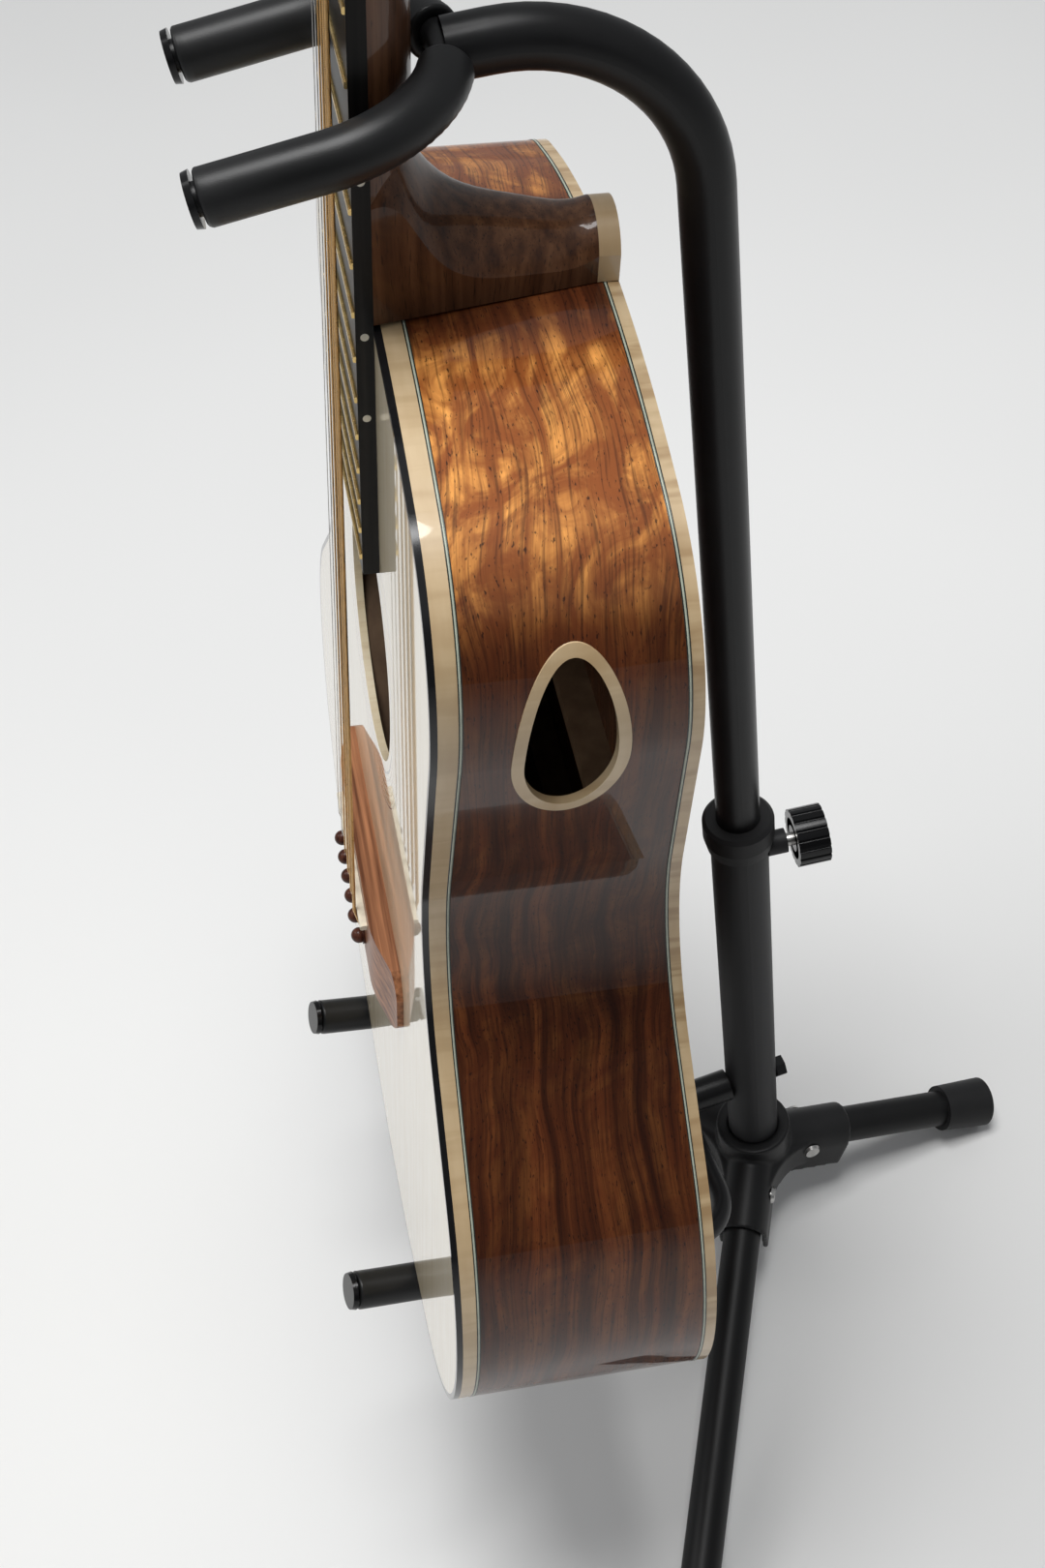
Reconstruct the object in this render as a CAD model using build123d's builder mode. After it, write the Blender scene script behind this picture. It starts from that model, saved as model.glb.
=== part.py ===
from build123d import *
import math
import os

# Steel-string guitar resting on a tubular tripod stand, in millimetres.
# Guitar frame: x across, y up the neck, z out of the soundboard, origin under the saddle.
# Stand frame: z up along the upright, y to the rear, floor at z = 0.

# Guitar driving dimensions
scale_length = 645.0
body_joint = 283.0
upper_half, upper_y, upper_radius = 139.0, 209.0, 60.0
waist_half, waist_y, waist_radius = 123.0, 113.0, 92.0
lower_half, lower_y, lower_radius = 206.0, -54.0, 105.0
tail_y, tail_radius = -181.0, 315.0
shoulder_radius = 285.0
depth_neck, depth_tail = 80.0, 106.0
edge_width = 2.3
edge_strip_height = 2.3
top_binding_neck, top_binding_tail = 6.6, 4.6
back_binding_height = 3.9
plate_thickness = 3.0
lining_width = 6.0
lining_height = 12.0
soundhole_y, soundhole_radius = 131.0, 50.0
rosette_inner, rosette_outer, rosette_depth = 54.0, 68.0, 1.5
port_y, port_depth, port_length, port_half = 205.0, 43.5, 71.0, 18.5
port_rim, port_stand, port_taper, port_blunt = 4.0, 0.5, 0.55, 29.0
block_half, block_depth, tail_block_depth = 40.0, 55.0, 18.0

# Neck driving dimensions
fret_count = 21
board_end = 184.0
board_thickness = 5.7
nut_half, twelfth_half = 22.0, 27.5
fret_height, fret_width, fret_round = 1.0, 2.2, 0.6
nut_length, nut_height, nut_flat, nut_rear_height = 6.0, 7.3, 2.0, 5.2
shaft_depth_nut, shaft_depth_heel = 14.5, 16.0
heel_cap_y, heel_cap_thickness, heel_cap_half = 303.0, 7.0, 13.0
heel_round = 0.75
heel_leads = ((0.0, 41.0), (14.0, 28.0), (22.0, 15.0), (34.0, 6.0), (50.0, 1.5))
head_angle, head_length, head_thickness = 13.0, 186.0, 15.0
head_half_low, head_half_high, head_crown, head_flare = 33.5, 36.5, 5.0, 26.0
veneer_thickness = 1.5
rod_width, rod_height, rod_gap, rod_margin = 6.0, 9.0, 0.2, 7.0
side_dot_radius, side_dot_depth = 1.35, 1.5
side_dot_frets = (3, 5, 7, 9, 12, 15, 17)

# Bridge, strings and tuner driving dimensions
bridge_half, bridge_block_half = 75.0, 42.0
bridge_front, bridge_rear, bridge_height, bridge_tip = 9.0, -27.0, 9.0, 2.6
bridge_tip_y, bridge_lift = -1.0, 0.05
saddle_half, saddle_width, saddle_top, saddle_seat, saddle_round = 37.0, 2.6, 12.0, 4.5, 1.04
pin_spacing, pin_y = 10.75, -17.0
pin_shank, pin_hole, pin_head, pin_top, pin_bottom = 2.5, 2.6, 3.8, 14.7, -13.0
pin_flange, pin_ball, pin_taper = 1.2, 3.3, 1.0
nut_spacing = 7.2
string_diameters = (1.42, 1.07, 0.81, 0.61, 0.43, 0.33)
wound_count = 4
string_bend, string_lift = 5.0, 0.25
tuner_pitch, tuner_margin, tuner_inset = 40.0, 64.0, 11.5
post_radius, post_stand, post_gap, post_chamfer = 3.0, 9.0, 0.05, 0.6
bushing_radius, bushing_flange, bushing_flange_height = 4.8, 6.5, 1.6
housing_length, housing_width, housing_height, housing_round = 19.0, 15.0, 9.0, 3.0
worm_radius, worm_reach, worm_collar, worm_collar_length = 1.9, 15.0, 3.1, 2.0
button_long, button_wide, button_thick, button_chamfer, button_round = 18.0, 14.0, 8.0, 1.5, 0.45
string_post_height = 4.0
running_gap = 0.3

# Stand driving dimensions
lean = 8.56
saddle_forward, saddle_up = 154.1, 352.0
tube_radius, tube_wall = 12.7, 1.5
tube_bottom, tube_top = 51.0, 323.0
mast_radius, mast_wall, mast_bottom = 9.5, 1.2, 140.0
neck_bend_radius = 62.0
yoke_rise, yoke_forward, yoke_pitch = 348.7, 75.4, 4.9
yoke_half, yoke_reach = 40.0, 78.3
rod_radius, foam_radius = 5.0, 8.5
foam_bare, cap_radius, cap_thickness, cap_taper = 1.5, 8.4, 2.2, 12.0
collar_radius, collar_height, collar_lip = 15.6, 14.0, 1.5
clamp_drop, boss_radius, boss_length = 20.0, 5.5, 8.0
screw_radius, knob_radius, knob_length, knob_start, knob_flutes = 3.0, 13.0, 14.0, 24.0, 18
knob_hollow, knob_flute, knob_face = 9.4, 0.8, 5.6
base_turn = 8.0
leg_slope_front, leg_slope_rear = 10.0, 19.0
leg_hub_height = 58.0
leg_radius, leg_wall, pivot_reach = 9.5, 1.5, 29.0
foot_flat = 0.6
foot_radius, foot_length, foot_end = 13.2, 27.0, 4.0
socket_reach, socket_wall, socket_gap, socket_skirt = 52.0, 2.8, 0.35, 8.0
hub_radius, hub_top = 19.0, 76.0
leg_pin_radius, leg_pin_head, leg_pin_dome, leg_pin_taper = 2.5, 4.5, 1.6, 25.0
cradle_drop, cradle_stem, cradle_half, cradle_slope = 231.9, 40.0, 78.5, 21.0
cradle_reach_near, cradle_reach_far = 192.5, 168.0
cradle_bend, cradle_foam, cradle_roll = 26.0, 120.0, 1.58
stem_radius, bolt_radius, bolt_head, bolt_head_height, bolt_bite = 8.0, 3.0, 5.5, 5.0, 12.0
small_chamfer = 1.0
yoke_height = saddle_up + yoke_rise
cradle_height = saddle_up - cradle_drop
clamp_height = tube_top - clamp_drop

pieces = {}


def keep(name, part, where=None):
    """Label a finished piece, put it in the stand frame and remember it."""
    solid = part if where is None else part.moved(where)
    solid.label = name
    pieces[name] = solid


def polar(centre, radius, angle):
    """Point at an angle in degrees on a circle."""
    turn = math.radians(angle)
    return (centre[0] + radius * math.cos(turn), centre[1] + radius * math.sin(turn))


def tangent_angle(first, second, share, side):
    """Direction in degrees of the radius where a tangent of two circles touches the first one."""
    dx, dy = second[0] - first[0], second[1] - first[1]
    base = math.degrees(math.atan2(dy, dx))
    return base + side * math.degrees(math.acos(share / math.hypot(dx, dy)))


upper_centre = (upper_half - upper_radius, upper_y)
waist_centre = (waist_half + waist_radius, waist_y)
lower_centre = (lower_half - lower_radius, lower_y)
shoulder_centre = (0.0, body_joint - shoulder_radius)
tail_centre = (0.0, tail_y + tail_radius)
shoulder_turn = tangent_angle(shoulder_centre, upper_centre, shoulder_radius - upper_radius, 1)
upper_turn = tangent_angle(upper_centre, waist_centre, upper_radius + waist_radius, 1)
waist_turn = tangent_angle(waist_centre, lower_centre, waist_radius + lower_radius, -1)
tail_turn = tangent_angle(lower_centre, tail_centre, lower_radius - tail_radius, 1)


def body_outline(grow):
    """Face of the body outline, grown outwards by a distance."""
    shoulder, upper = shoulder_radius + grow, upper_radius + grow
    waist, lower, tail = waist_radius - grow, lower_radius + grow, tail_radius + grow
    waist_start = (upper_turn + 180) % 360
    waist_end = waist_turn % 360
    lower_start = (waist_turn + 180) % 360
    tail_end = tail_turn % 360
    with BuildSketch() as face:
        with BuildLine():
            CenterArc(shoulder_centre, shoulder, 90, shoulder_turn - 90)
            Line(polar(shoulder_centre, shoulder, shoulder_turn), polar(upper_centre, upper, shoulder_turn))
            CenterArc(upper_centre, upper, shoulder_turn, upper_turn - shoulder_turn)
            Line(polar(upper_centre, upper, upper_turn), polar(waist_centre, waist, waist_start))
            CenterArc(waist_centre, waist, waist_start, waist_end - waist_start)
            Line(polar(waist_centre, waist, waist_end), polar(lower_centre, lower, lower_start))
            CenterArc(lower_centre, lower, lower_start, (tail_end - lower_start) - 360)
            Line(polar(lower_centre, lower, tail_end), polar(tail_centre, tail, tail_end))
            CenterArc(tail_centre, tail, tail_end, 270 - tail_end)
            mirror(about=Plane.YZ)
        make_face()
    return face.sketch


def body_ring(outer, inner):
    """Band between two grown outlines."""
    with BuildSketch() as band:
        add(body_outline(outer))
        add(body_outline(inner), mode=Mode.SUBTRACT)
    return band.sketch


body_length = body_joint - tail_y
back_slope = math.atan((depth_tail - depth_neck) / body_length)
back_normal = (0, math.sin(back_slope), -math.cos(back_slope))
back_face = Plane(origin=(0, body_joint, -depth_neck), x_dir=(1, 0, 0), z_dir=back_normal)
back_inside = back_face.offset(-plate_thickness)
side_top = edge_strip_height + top_binding_neck
binding_slope = math.atan((top_binding_neck - top_binding_tail) / body_length)
binding_foot = Plane(origin=(0, body_joint, -side_top), x_dir=(1, 0, 0),
                     z_dir=(0, math.sin(binding_slope), math.cos(binding_slope)))
deep = depth_tail + back_binding_height
inner_wall = -edge_width
lining_wall = inner_wall - lining_width
lean_turn = math.radians(lean)
guitar_front = (0, -math.cos(lean_turn), math.sin(lean_turn))
guitar_place = Plane(origin=(0, -saddle_forward, saddle_up), x_dir=(1, 0, 0), z_dir=guitar_front).location


def port_outline(grow):
    """Egg of the soundport with its narrow end towards the neck."""
    wide, blunt_end, long_end = port_half + grow, -port_blunt - grow, port_length - port_blunt + grow
    turn = wide * port_taper
    with BuildSketch() as egg:
        with BuildLine():
            Bezier((0, -wide), (blunt_end * port_taper, -wide), (blunt_end, -turn), (blunt_end, 0))
            Bezier((blunt_end, 0), (blunt_end, turn), (blunt_end * port_taper, wide), (0, wide))
            Bezier((0, wide), (long_end * port_taper, wide), (long_end, turn), (long_end, 0))
            Bezier((long_end, 0), (long_end, -turn), (long_end * port_taper, -wide), (0, -wide))
        make_face()
    return egg.sketch


egg_shift = port_blunt - port_length / 2
egg_plane = Plane(origin=(0, port_y + egg_shift, -port_depth), x_dir=(0, 1, 0), z_dir=(1, 0, 0))


def fret_y(number):
    """Distance from the saddle to a fret."""
    return scale_length * 2 ** (-number / 12)


def board_half(y):
    """Half width of the fretboard at a distance from the saddle."""
    return nut_half + (twelfth_half - nut_half) * (scale_length - y) / (scale_length / 2)


course_middle = (len(string_diameters) - 1) / 2
pin_places = [((i - course_middle) * pin_spacing, pin_y) for i in range(len(string_diameters))]

# Soundboard, rosette and edge
with BuildPart() as soundboard:
    with BuildSketch():
        add(body_outline(inner_wall))
        with Locations((0, soundhole_y)):
            Circle(soundhole_radius, mode=Mode.SUBTRACT)
        with Locations(*pin_places):
            Circle(pin_hole, mode=Mode.SUBTRACT)
    extrude(amount=-plate_thickness)
    with BuildSketch():
        with Locations((0, soundhole_y)):
            Circle(rosette_outer)
            Circle(rosette_inner, mode=Mode.SUBTRACT)
    extrude(amount=-rosette_depth, mode=Mode.SUBTRACT)
keep("soundboard", soundboard.part, guitar_place)

with BuildPart() as rosette:
    with BuildSketch():
        with Locations((0, soundhole_y)):
            Circle(rosette_outer)
            Circle(rosette_inner, mode=Mode.SUBTRACT)
    extrude(amount=-rosette_depth)
keep("rosette", rosette.part, guitar_place)

with BuildPart() as edge_strip:
    with BuildSketch():
        add(body_ring(0, inner_wall))
    extrude(amount=-edge_strip_height)
keep("edge_strip", edge_strip.part, guitar_place)

with BuildPart() as top_binding:
    with BuildSketch(Plane.XY.offset(-edge_strip_height)):
        add(body_ring(0, inner_wall))
    extrude(amount=-side_top)
    split(bisect_by=binding_foot, keep=Keep.TOP)
keep("top_binding", top_binding.part, guitar_place)

# Bent sides in two halves, with the soundport in the bass half
for side_name, side_keep in (("side_bass", Keep.TOP), ("side_treble", Keep.BOTTOM)):
    with BuildPart() as side:
        with BuildSketch(Plane.XY.offset(-edge_strip_height)):
            add(body_ring(0, inner_wall))
        extrude(amount=-deep)
        split(bisect_by=binding_foot, keep=Keep.BOTTOM)
        split(bisect_by=back_face.offset(-back_binding_height), keep=Keep.BOTTOM)
        split(bisect_by=Plane.YZ, keep=side_keep)
        if side_keep == Keep.TOP:
            with BuildSketch(egg_plane):
                add(port_outline(0))
            extrude(amount=upper_half + upper_radius, mode=Mode.SUBTRACT)
    keep(side_name, side.part, guitar_place)

with BuildPart() as soundport_ring:
    with BuildSketch(Plane.XY.offset(-side_top)):
        add(body_ring(port_stand, inner_wall - port_stand))
    extrude(amount=-deep)
    with BuildSketch(egg_plane):
        add(port_outline(0))
        add(port_outline(-port_rim), mode=Mode.SUBTRACT)
    extrude(amount=upper_half + upper_radius, mode=Mode.INTERSECT)
keep("soundport_ring", soundport_ring.part, guitar_place)

with BuildPart() as back_binding:
    with BuildSketch(Plane.XY.offset(-side_top)):
        add(body_ring(0, inner_wall))
    extrude(amount=-deep)
    split(bisect_by=back_face.offset(-back_binding_height), keep=Keep.TOP)
    split(bisect_by=back_face, keep=Keep.BOTTOM)
keep("back_binding", back_binding.part, guitar_place)

with BuildPart() as back_plate:
    with BuildSketch(Plane.XY.offset(-side_top)):
        add(body_outline(inner_wall))
    extrude(amount=-deep)
    split(bisect_by=back_inside, keep=Keep.TOP)
    split(bisect_by=back_face, keep=Keep.BOTTOM)
keep("back_plate", back_plate.part, guitar_place)


def block_outline(low, high):
    """End block footprint inside the sides."""
    with BuildSketch() as footprint:
        add(body_outline(inner_wall))
        with Locations((0, (low + high) / 2)):
            Rectangle(2 * block_half, high - low, mode=Mode.INTERSECT)
    return footprint.sketch


# Blocks, linings and braces inside the body
block_spans = {
    "neck_block": (body_joint - block_depth, body_joint),
    "tail_block": (tail_y, tail_y + tail_block_depth),
}
for block_name, (block_low, block_high) in block_spans.items():
    with BuildPart() as block:
        with BuildSketch(Plane.XY.offset(-plate_thickness)):
            add(block_outline(block_low, block_high))
        extrude(amount=-deep)
        split(bisect_by=back_inside, keep=Keep.BOTTOM)
    keep(block_name, block.part, guitar_place)


def lining_band():
    """Band of a lining, broken at both end blocks."""
    with BuildSketch() as band:
        add(body_ring(inner_wall, lining_wall))
        for low, high in block_spans.values():
            with Locations((0, (low + high) / 2)):
                Rectangle(2 * block_half, high - low, mode=Mode.SUBTRACT)
    return band.sketch


with BuildPart() as linings:
    with BuildSketch(Plane.XY.offset(-plate_thickness)):
        add(lining_band())
    extrude(amount=-deep)
    split(bisect_by=back_inside.offset(-lining_height), keep=Keep.TOP)
    split(bisect_by=back_inside, keep=Keep.BOTTOM)
    with BuildSketch(Plane.XY.offset(-plate_thickness)):
        add(lining_band())
    extrude(amount=-lining_height)
keep("linings", linings.part, guitar_place)

brace_width, brace_height = 8.0, 13.0
cross_y, cross_angle, cross_length = 55.0, 47.0, 330.0
bar_y, tone_y, tone_length = 208.0, -75.0, 190.0
back_brace_ys = (175.0, 75.0, -30.0, -115.0)
brace_clear = lining_wall - running_gap
with BuildSketch() as brace_room:
    add(body_outline(brace_clear))
with BuildPart() as braces:
    with BuildSketch(Plane.XY.offset(-side_top)):
        for brace_y in back_brace_ys:
            with Locations((0, brace_y)):
                Rectangle(2 * lower_half, brace_width)
        add(brace_room.sketch, mode=Mode.INTERSECT)
    extrude(amount=-deep)
    split(bisect_by=back_inside.offset(-brace_height), keep=Keep.TOP)
    split(bisect_by=back_inside, keep=Keep.BOTTOM)
    with BuildSketch(Plane.XY.offset(-plate_thickness)):
        with Locations((0, cross_y)):
            Rectangle(brace_width, cross_length, rotation=cross_angle)
            Rectangle(brace_width, cross_length, rotation=-cross_angle)
        with Locations((0, bar_y)):
            Rectangle(2 * upper_half, brace_width)
        with Locations((0, tone_y)):
            Rectangle(tone_length, brace_width)
        add(brace_room.sketch, mode=Mode.INTERSECT)
    extrude(amount=-brace_height)
keep("braces", braces.part, guitar_place)

plate_half, plate_front, plate_rear, plate_depth = 45.0, 6.0, -30.0, 2.5
with BuildPart() as bridge_plate:
    with BuildSketch(Plane.XY.offset(-plate_thickness)):
        with Locations((0, (plate_front + plate_rear) / 2)):
            Rectangle(2 * plate_half, plate_front - plate_rear)
        with Locations(*pin_places):
            Circle(pin_hole, mode=Mode.SUBTRACT)
    extrude(amount=-plate_depth)
keep("bridge_plate", bridge_plate.part, guitar_place)

# Neck with heel and headstock, carved from one piece
nut_y = scale_length
head_y = nut_y + nut_length
head_turn = math.radians(head_angle)
head_up = (0, math.sin(head_turn), math.cos(head_turn))
head_plane = Plane(origin=(0, head_y, -veneer_thickness), x_dir=(1, 0, 0), z_dir=head_up)
veneer_plane = head_plane.offset(veneer_thickness)
tuner_places = []
for tuner_row in range(3):
    tuner_y = head_length - tuner_margin - (2 - tuner_row) * tuner_pitch
    tuner_half = head_half_low + (head_half_high - head_half_low) * tuner_y / head_length
    for tuner_side in (1, -1):
        tuner_places.append((tuner_side * (tuner_half - tuner_inset), tuner_y, tuner_side))


def neck_section(half, depth):
    """Round-backed neck section, flat under the fretboard."""
    with BuildSketch() as section:
        with BuildLine():
            Line((-half, 0), (half, 0))
            ThreePointArc((half, 0), (0, -depth), (-half, 0))
        make_face()
    return section.sketch


def across_neck(y):
    """Plane across the neck, with the section's y up."""
    return Plane(origin=(0, y, 0), x_dir=(1, 0, 0), z_dir=(0, -1, 0))


def head_outline():
    """Plain tapered headstock face with a crowned top."""
    with BuildSketch() as face:
        with BuildLine():
            Polyline((-head_half_high, head_length), (-head_half_low, head_flare), (-nut_half, 0), (nut_half, 0),
                     (head_half_low, head_flare), (head_half_high, head_length))
            ThreePointArc((head_half_high, head_length), (0, head_length + head_crown),
                          (-head_half_high, head_length))
        make_face()
    return face.sketch


rod_low, rod_high = body_joint + rod_margin, nut_y - rod_margin
heel_foot = depth_neck - heel_cap_thickness


def heel_section(depth, lead):
    """Round-nosed heel section at a depth, reaching a lead beyond the heel cap's nose."""
    wide = board_half(heel_cap_y)
    half = wide + (heel_cap_half - wide) * depth / depth_neck
    nose, flank = heel_cap_y + lead, heel_cap_y + lead - half * heel_round
    with BuildSketch() as section:
        with BuildLine():
            Polyline((half, flank), (half, body_joint), (-half, body_joint), (-half, flank))
            ThreePointArc((-half, flank), (0, nose), (half, flank))
        make_face()
    return section.sketch


with BuildPart() as neck:
    with BuildSketch(across_neck(heel_cap_y)):
        add(neck_section(board_half(heel_cap_y), shaft_depth_heel))
    with BuildSketch(across_neck(head_y)):
        add(neck_section(nut_half, shaft_depth_nut))
    loft()
    for heel_depth, heel_lead in heel_leads + ((heel_foot, 0.0),):
        with BuildSketch(Plane.XY.offset(-heel_depth)):
            add(heel_section(heel_depth, heel_lead))
    loft()
    with BuildSketch(head_plane):
        add(head_outline())
        with Locations(*[(x, y) for x, y, s in tuner_places]):
            Circle(bushing_radius, mode=Mode.SUBTRACT)
    extrude(amount=-head_thickness)
    with BuildSketch(Plane.XY):
        with Locations((0, (rod_low + rod_high) / 2)):
            Rectangle(rod_width + 2 * rod_gap, rod_high - rod_low)
    extrude(amount=-rod_height, mode=Mode.SUBTRACT)
keep("neck", neck.part, guitar_place)

with BuildPart() as heel_cap:
    with BuildSketch(Plane.XY.offset(-heel_foot)):
        add(heel_section(heel_foot, 0.0))
    extrude(amount=-heel_cap_thickness)
keep("heel_cap", heel_cap.part, guitar_place)

with BuildPart() as truss_rod:
    with BuildSketch(Plane.XY):
        with Locations((0, (rod_low + rod_high) / 2)):
            Rectangle(rod_width, rod_high - rod_low - 2 * rod_gap)
    extrude(amount=-rod_height)
    chamfer(truss_rod.edges().filter_by(Axis.Y), small_chamfer)
keep("truss_rod", truss_rod.part, guitar_place)

with BuildPart() as headstock_veneer:
    with BuildSketch(head_plane):
        add(head_outline())
        with Locations(*[(x, y) for x, y, s in tuner_places]):
            Circle(bushing_radius, mode=Mode.SUBTRACT)
    extrude(amount=veneer_thickness)
    split(bisect_by=Plane(origin=(0, head_y, 0), z_dir=(0, 1, 0)), keep=Keep.TOP)
keep("headstock_veneer", headstock_veneer.part, guitar_place)

# Fretboard, frets, side dots and nut
dot_places = [(fret_y(n) + fret_y(n - 1)) / 2 for n in side_dot_frets]
with BuildPart() as fretboard:
    with BuildSketch():
        with BuildLine():
            Polyline((board_half(board_end), board_end), (nut_half, nut_y), (-nut_half, nut_y),
                     (-board_half(board_end), board_end), close=True)
        make_face()
    extrude(amount=board_thickness)
    for dot_y in dot_places:
        with BuildSketch(Plane.YZ.offset(board_half(dot_y) - side_dot_depth)):
            with Locations((dot_y, board_thickness / 2)):
                Circle(side_dot_radius)
        extrude(amount=2 * side_dot_depth, mode=Mode.SUBTRACT)
keep("fretboard", fretboard.part, guitar_place)

with BuildPart() as side_dots:
    for dot_y in dot_places:
        with BuildSketch(Plane.YZ.offset(board_half(dot_y) - side_dot_depth)):
            with Locations((dot_y, board_thickness / 2)):
                Circle(side_dot_radius)
        extrude(amount=side_dot_depth)
keep("side_dots", side_dots.part, guitar_place)

with BuildPart() as frets:
    for number in range(1, fret_count + 1):
        with BuildSketch(Plane.YZ) as fret:
            with Locations((fret_y(number), board_thickness + fret_height / 2)):
                Rectangle(fret_width, fret_height)
            fillet(fret.vertices().group_by(Axis.Y)[-1], fret_round)
        extrude(amount=board_half(fret_y(number)) - running_gap, both=True)
keep("frets", frets.part, guitar_place)

with BuildPart() as nut:
    with BuildSketch(Plane.YZ):
        with BuildLine():
            Polyline((nut_y, 0), (nut_y, nut_height), (nut_y + nut_flat, nut_height),
                     (head_y, nut_rear_height), (head_y, 0), close=True)
        make_face()
    extrude(amount=nut_half, both=True)
keep("nut", nut.part, guitar_place)

# Bridge, saddle and pins
with BuildPart() as bridge:
    with BuildSketch(Plane.XZ.offset(-bridge_front)):
        with BuildLine():
            Polyline((bridge_half, 0), (bridge_half, bridge_tip))
            Spline((bridge_half, bridge_tip), (bridge_block_half, bridge_height),
                   tangents=((-1, bridge_lift), (-1, 0)))
            Polyline((bridge_block_half, bridge_height), (0, bridge_height), (0, 0), (bridge_half, 0))
        make_face()
        mirror(about=Plane.YZ)
    extrude(amount=bridge_front - bridge_rear)
    with BuildSketch():
        with BuildLine():
            Polyline((bridge_block_half, bridge_front), (-bridge_block_half, bridge_front))
            ThreePointArc((-bridge_block_half, bridge_front), (-bridge_half, bridge_tip_y),
                          (-bridge_block_half, bridge_rear))
            Polyline((-bridge_block_half, bridge_rear), (bridge_block_half, bridge_rear))
            ThreePointArc((bridge_block_half, bridge_rear), (bridge_half, bridge_tip_y),
                          (bridge_block_half, bridge_front))
        make_face()
    extrude(amount=bridge_height, mode=Mode.INTERSECT)
    with BuildSketch(Plane.XY.offset(saddle_seat)):
        Rectangle(2 * saddle_half, saddle_width)
    extrude(amount=bridge_height, mode=Mode.SUBTRACT)
    with BuildSketch():
        with Locations(*pin_places):
            Circle(pin_hole)
    extrude(amount=bridge_height, mode=Mode.SUBTRACT)
keep("bridge", bridge.part, guitar_place)

with BuildPart() as saddle:
    with BuildSketch(Plane.XY.offset(saddle_seat)):
        Rectangle(2 * saddle_half, saddle_width)
    extrude(amount=saddle_top - saddle_seat)
    fillet(saddle.faces().sort_by(Axis.Z)[-1].edges().filter_by(Axis.X), saddle_round)
keep("saddle", saddle.part, guitar_place)

with BuildPart() as bridge_pins:
    with BuildSketch(Plane.XY.offset(bridge_height)):
        with Locations(*pin_places):
            Circle(pin_shank)
    extrude(amount=pin_bottom - bridge_height, taper=pin_taper)
    with BuildSketch(Plane.XY.offset(bridge_height)):
        with Locations(*pin_places):
            Circle(pin_head)
    extrude(amount=pin_flange)
    with Locations(*[(x, y, pin_top - pin_ball) for x, y in pin_places]):
        Sphere(pin_ball)
keep("bridge_pins", bridge_pins.part, guitar_place)

# Strings, whole along their route from the pins to the tuner posts
# Course order runs up the bass side, which is the +x side here, and down the treble side.
bass_places = [place for place in tuner_places if place[2] > 0]
treble_places = [place for place in tuner_places if place[2] < 0]
course_places = bass_places + treble_places[::-1]


def string_route(course):
    """Points of one string: bridge end, saddle, nut and tuner post."""
    radius = string_diameters[course] / 2
    saddle_x = (course_middle - course) * pin_spacing
    nut_x = (course_middle - course) * nut_spacing
    post_x, post_y = course_places[course][:2]
    start = (saddle_x, pin_y + pin_head + running_gap + radius, bridge_height + radius + string_lift)
    over_saddle = (saddle_x, 0, saddle_top + radius + string_lift)
    over_nut = (nut_x, nut_y + nut_flat / 2, nut_height + radius + string_lift)
    post = veneer_plane.from_local_coords((post_x, post_y, string_post_height + course % 2))
    reach = Vector(*over_nut) - post
    stop = post + reach.normalized() * (post_radius + radius + running_gap)
    return [start, over_saddle, over_nut, tuple(stop)]


for string_name, first, last in (("wound_strings", 0, wound_count), ("plain_strings", wound_count, len(string_diameters))):
    with BuildPart() as strings:
        for course in range(first, last):
            with BuildLine() as route:
                FilletPolyline(*string_route(course), radius=string_bend)
            with BuildSketch(Plane(origin=route.line @ 0, z_dir=route.line % 0)):
                Circle(string_diameters[course] / 2)
            sweep(path=route.line)
    keep(string_name, strings.part, guitar_place)

# Tuning machines
head_back = head_plane.offset(-head_thickness)
with BuildPart() as tuner_housings:
    for tuner_x, tuner_y, tuner_side in tuner_places:
        with BuildSketch(head_back):
            with Locations((tuner_x, tuner_y)):
                RectangleRounded(housing_width, housing_length, housing_round)
                Circle(post_radius + post_gap, mode=Mode.SUBTRACT)
        extrude(amount=-housing_height)
        worm_plane = Plane(
            origin=head_back.from_local_coords((tuner_x, tuner_y + 2 * post_radius, -housing_height / 2)),
            x_dir=(0, 1, 0), z_dir=(tuner_side, 0, 0))
        with BuildSketch(worm_plane):
            Circle(worm_radius + post_gap)
        extrude(amount=housing_width, both=True, mode=Mode.SUBTRACT)
        with BuildSketch(veneer_plane):
            with Locations((tuner_x, tuner_y)):
                Circle(bushing_flange)
                Circle(post_radius + post_gap, mode=Mode.SUBTRACT)
        extrude(amount=bushing_flange_height)
        with BuildSketch(head_back):
            with Locations((tuner_x, tuner_y)):
                Circle(bushing_radius)
                Circle(post_radius + post_gap, mode=Mode.SUBTRACT)
        extrude(amount=head_thickness + veneer_thickness)
keep("tuner_housings", tuner_housings.part, guitar_place)

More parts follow.
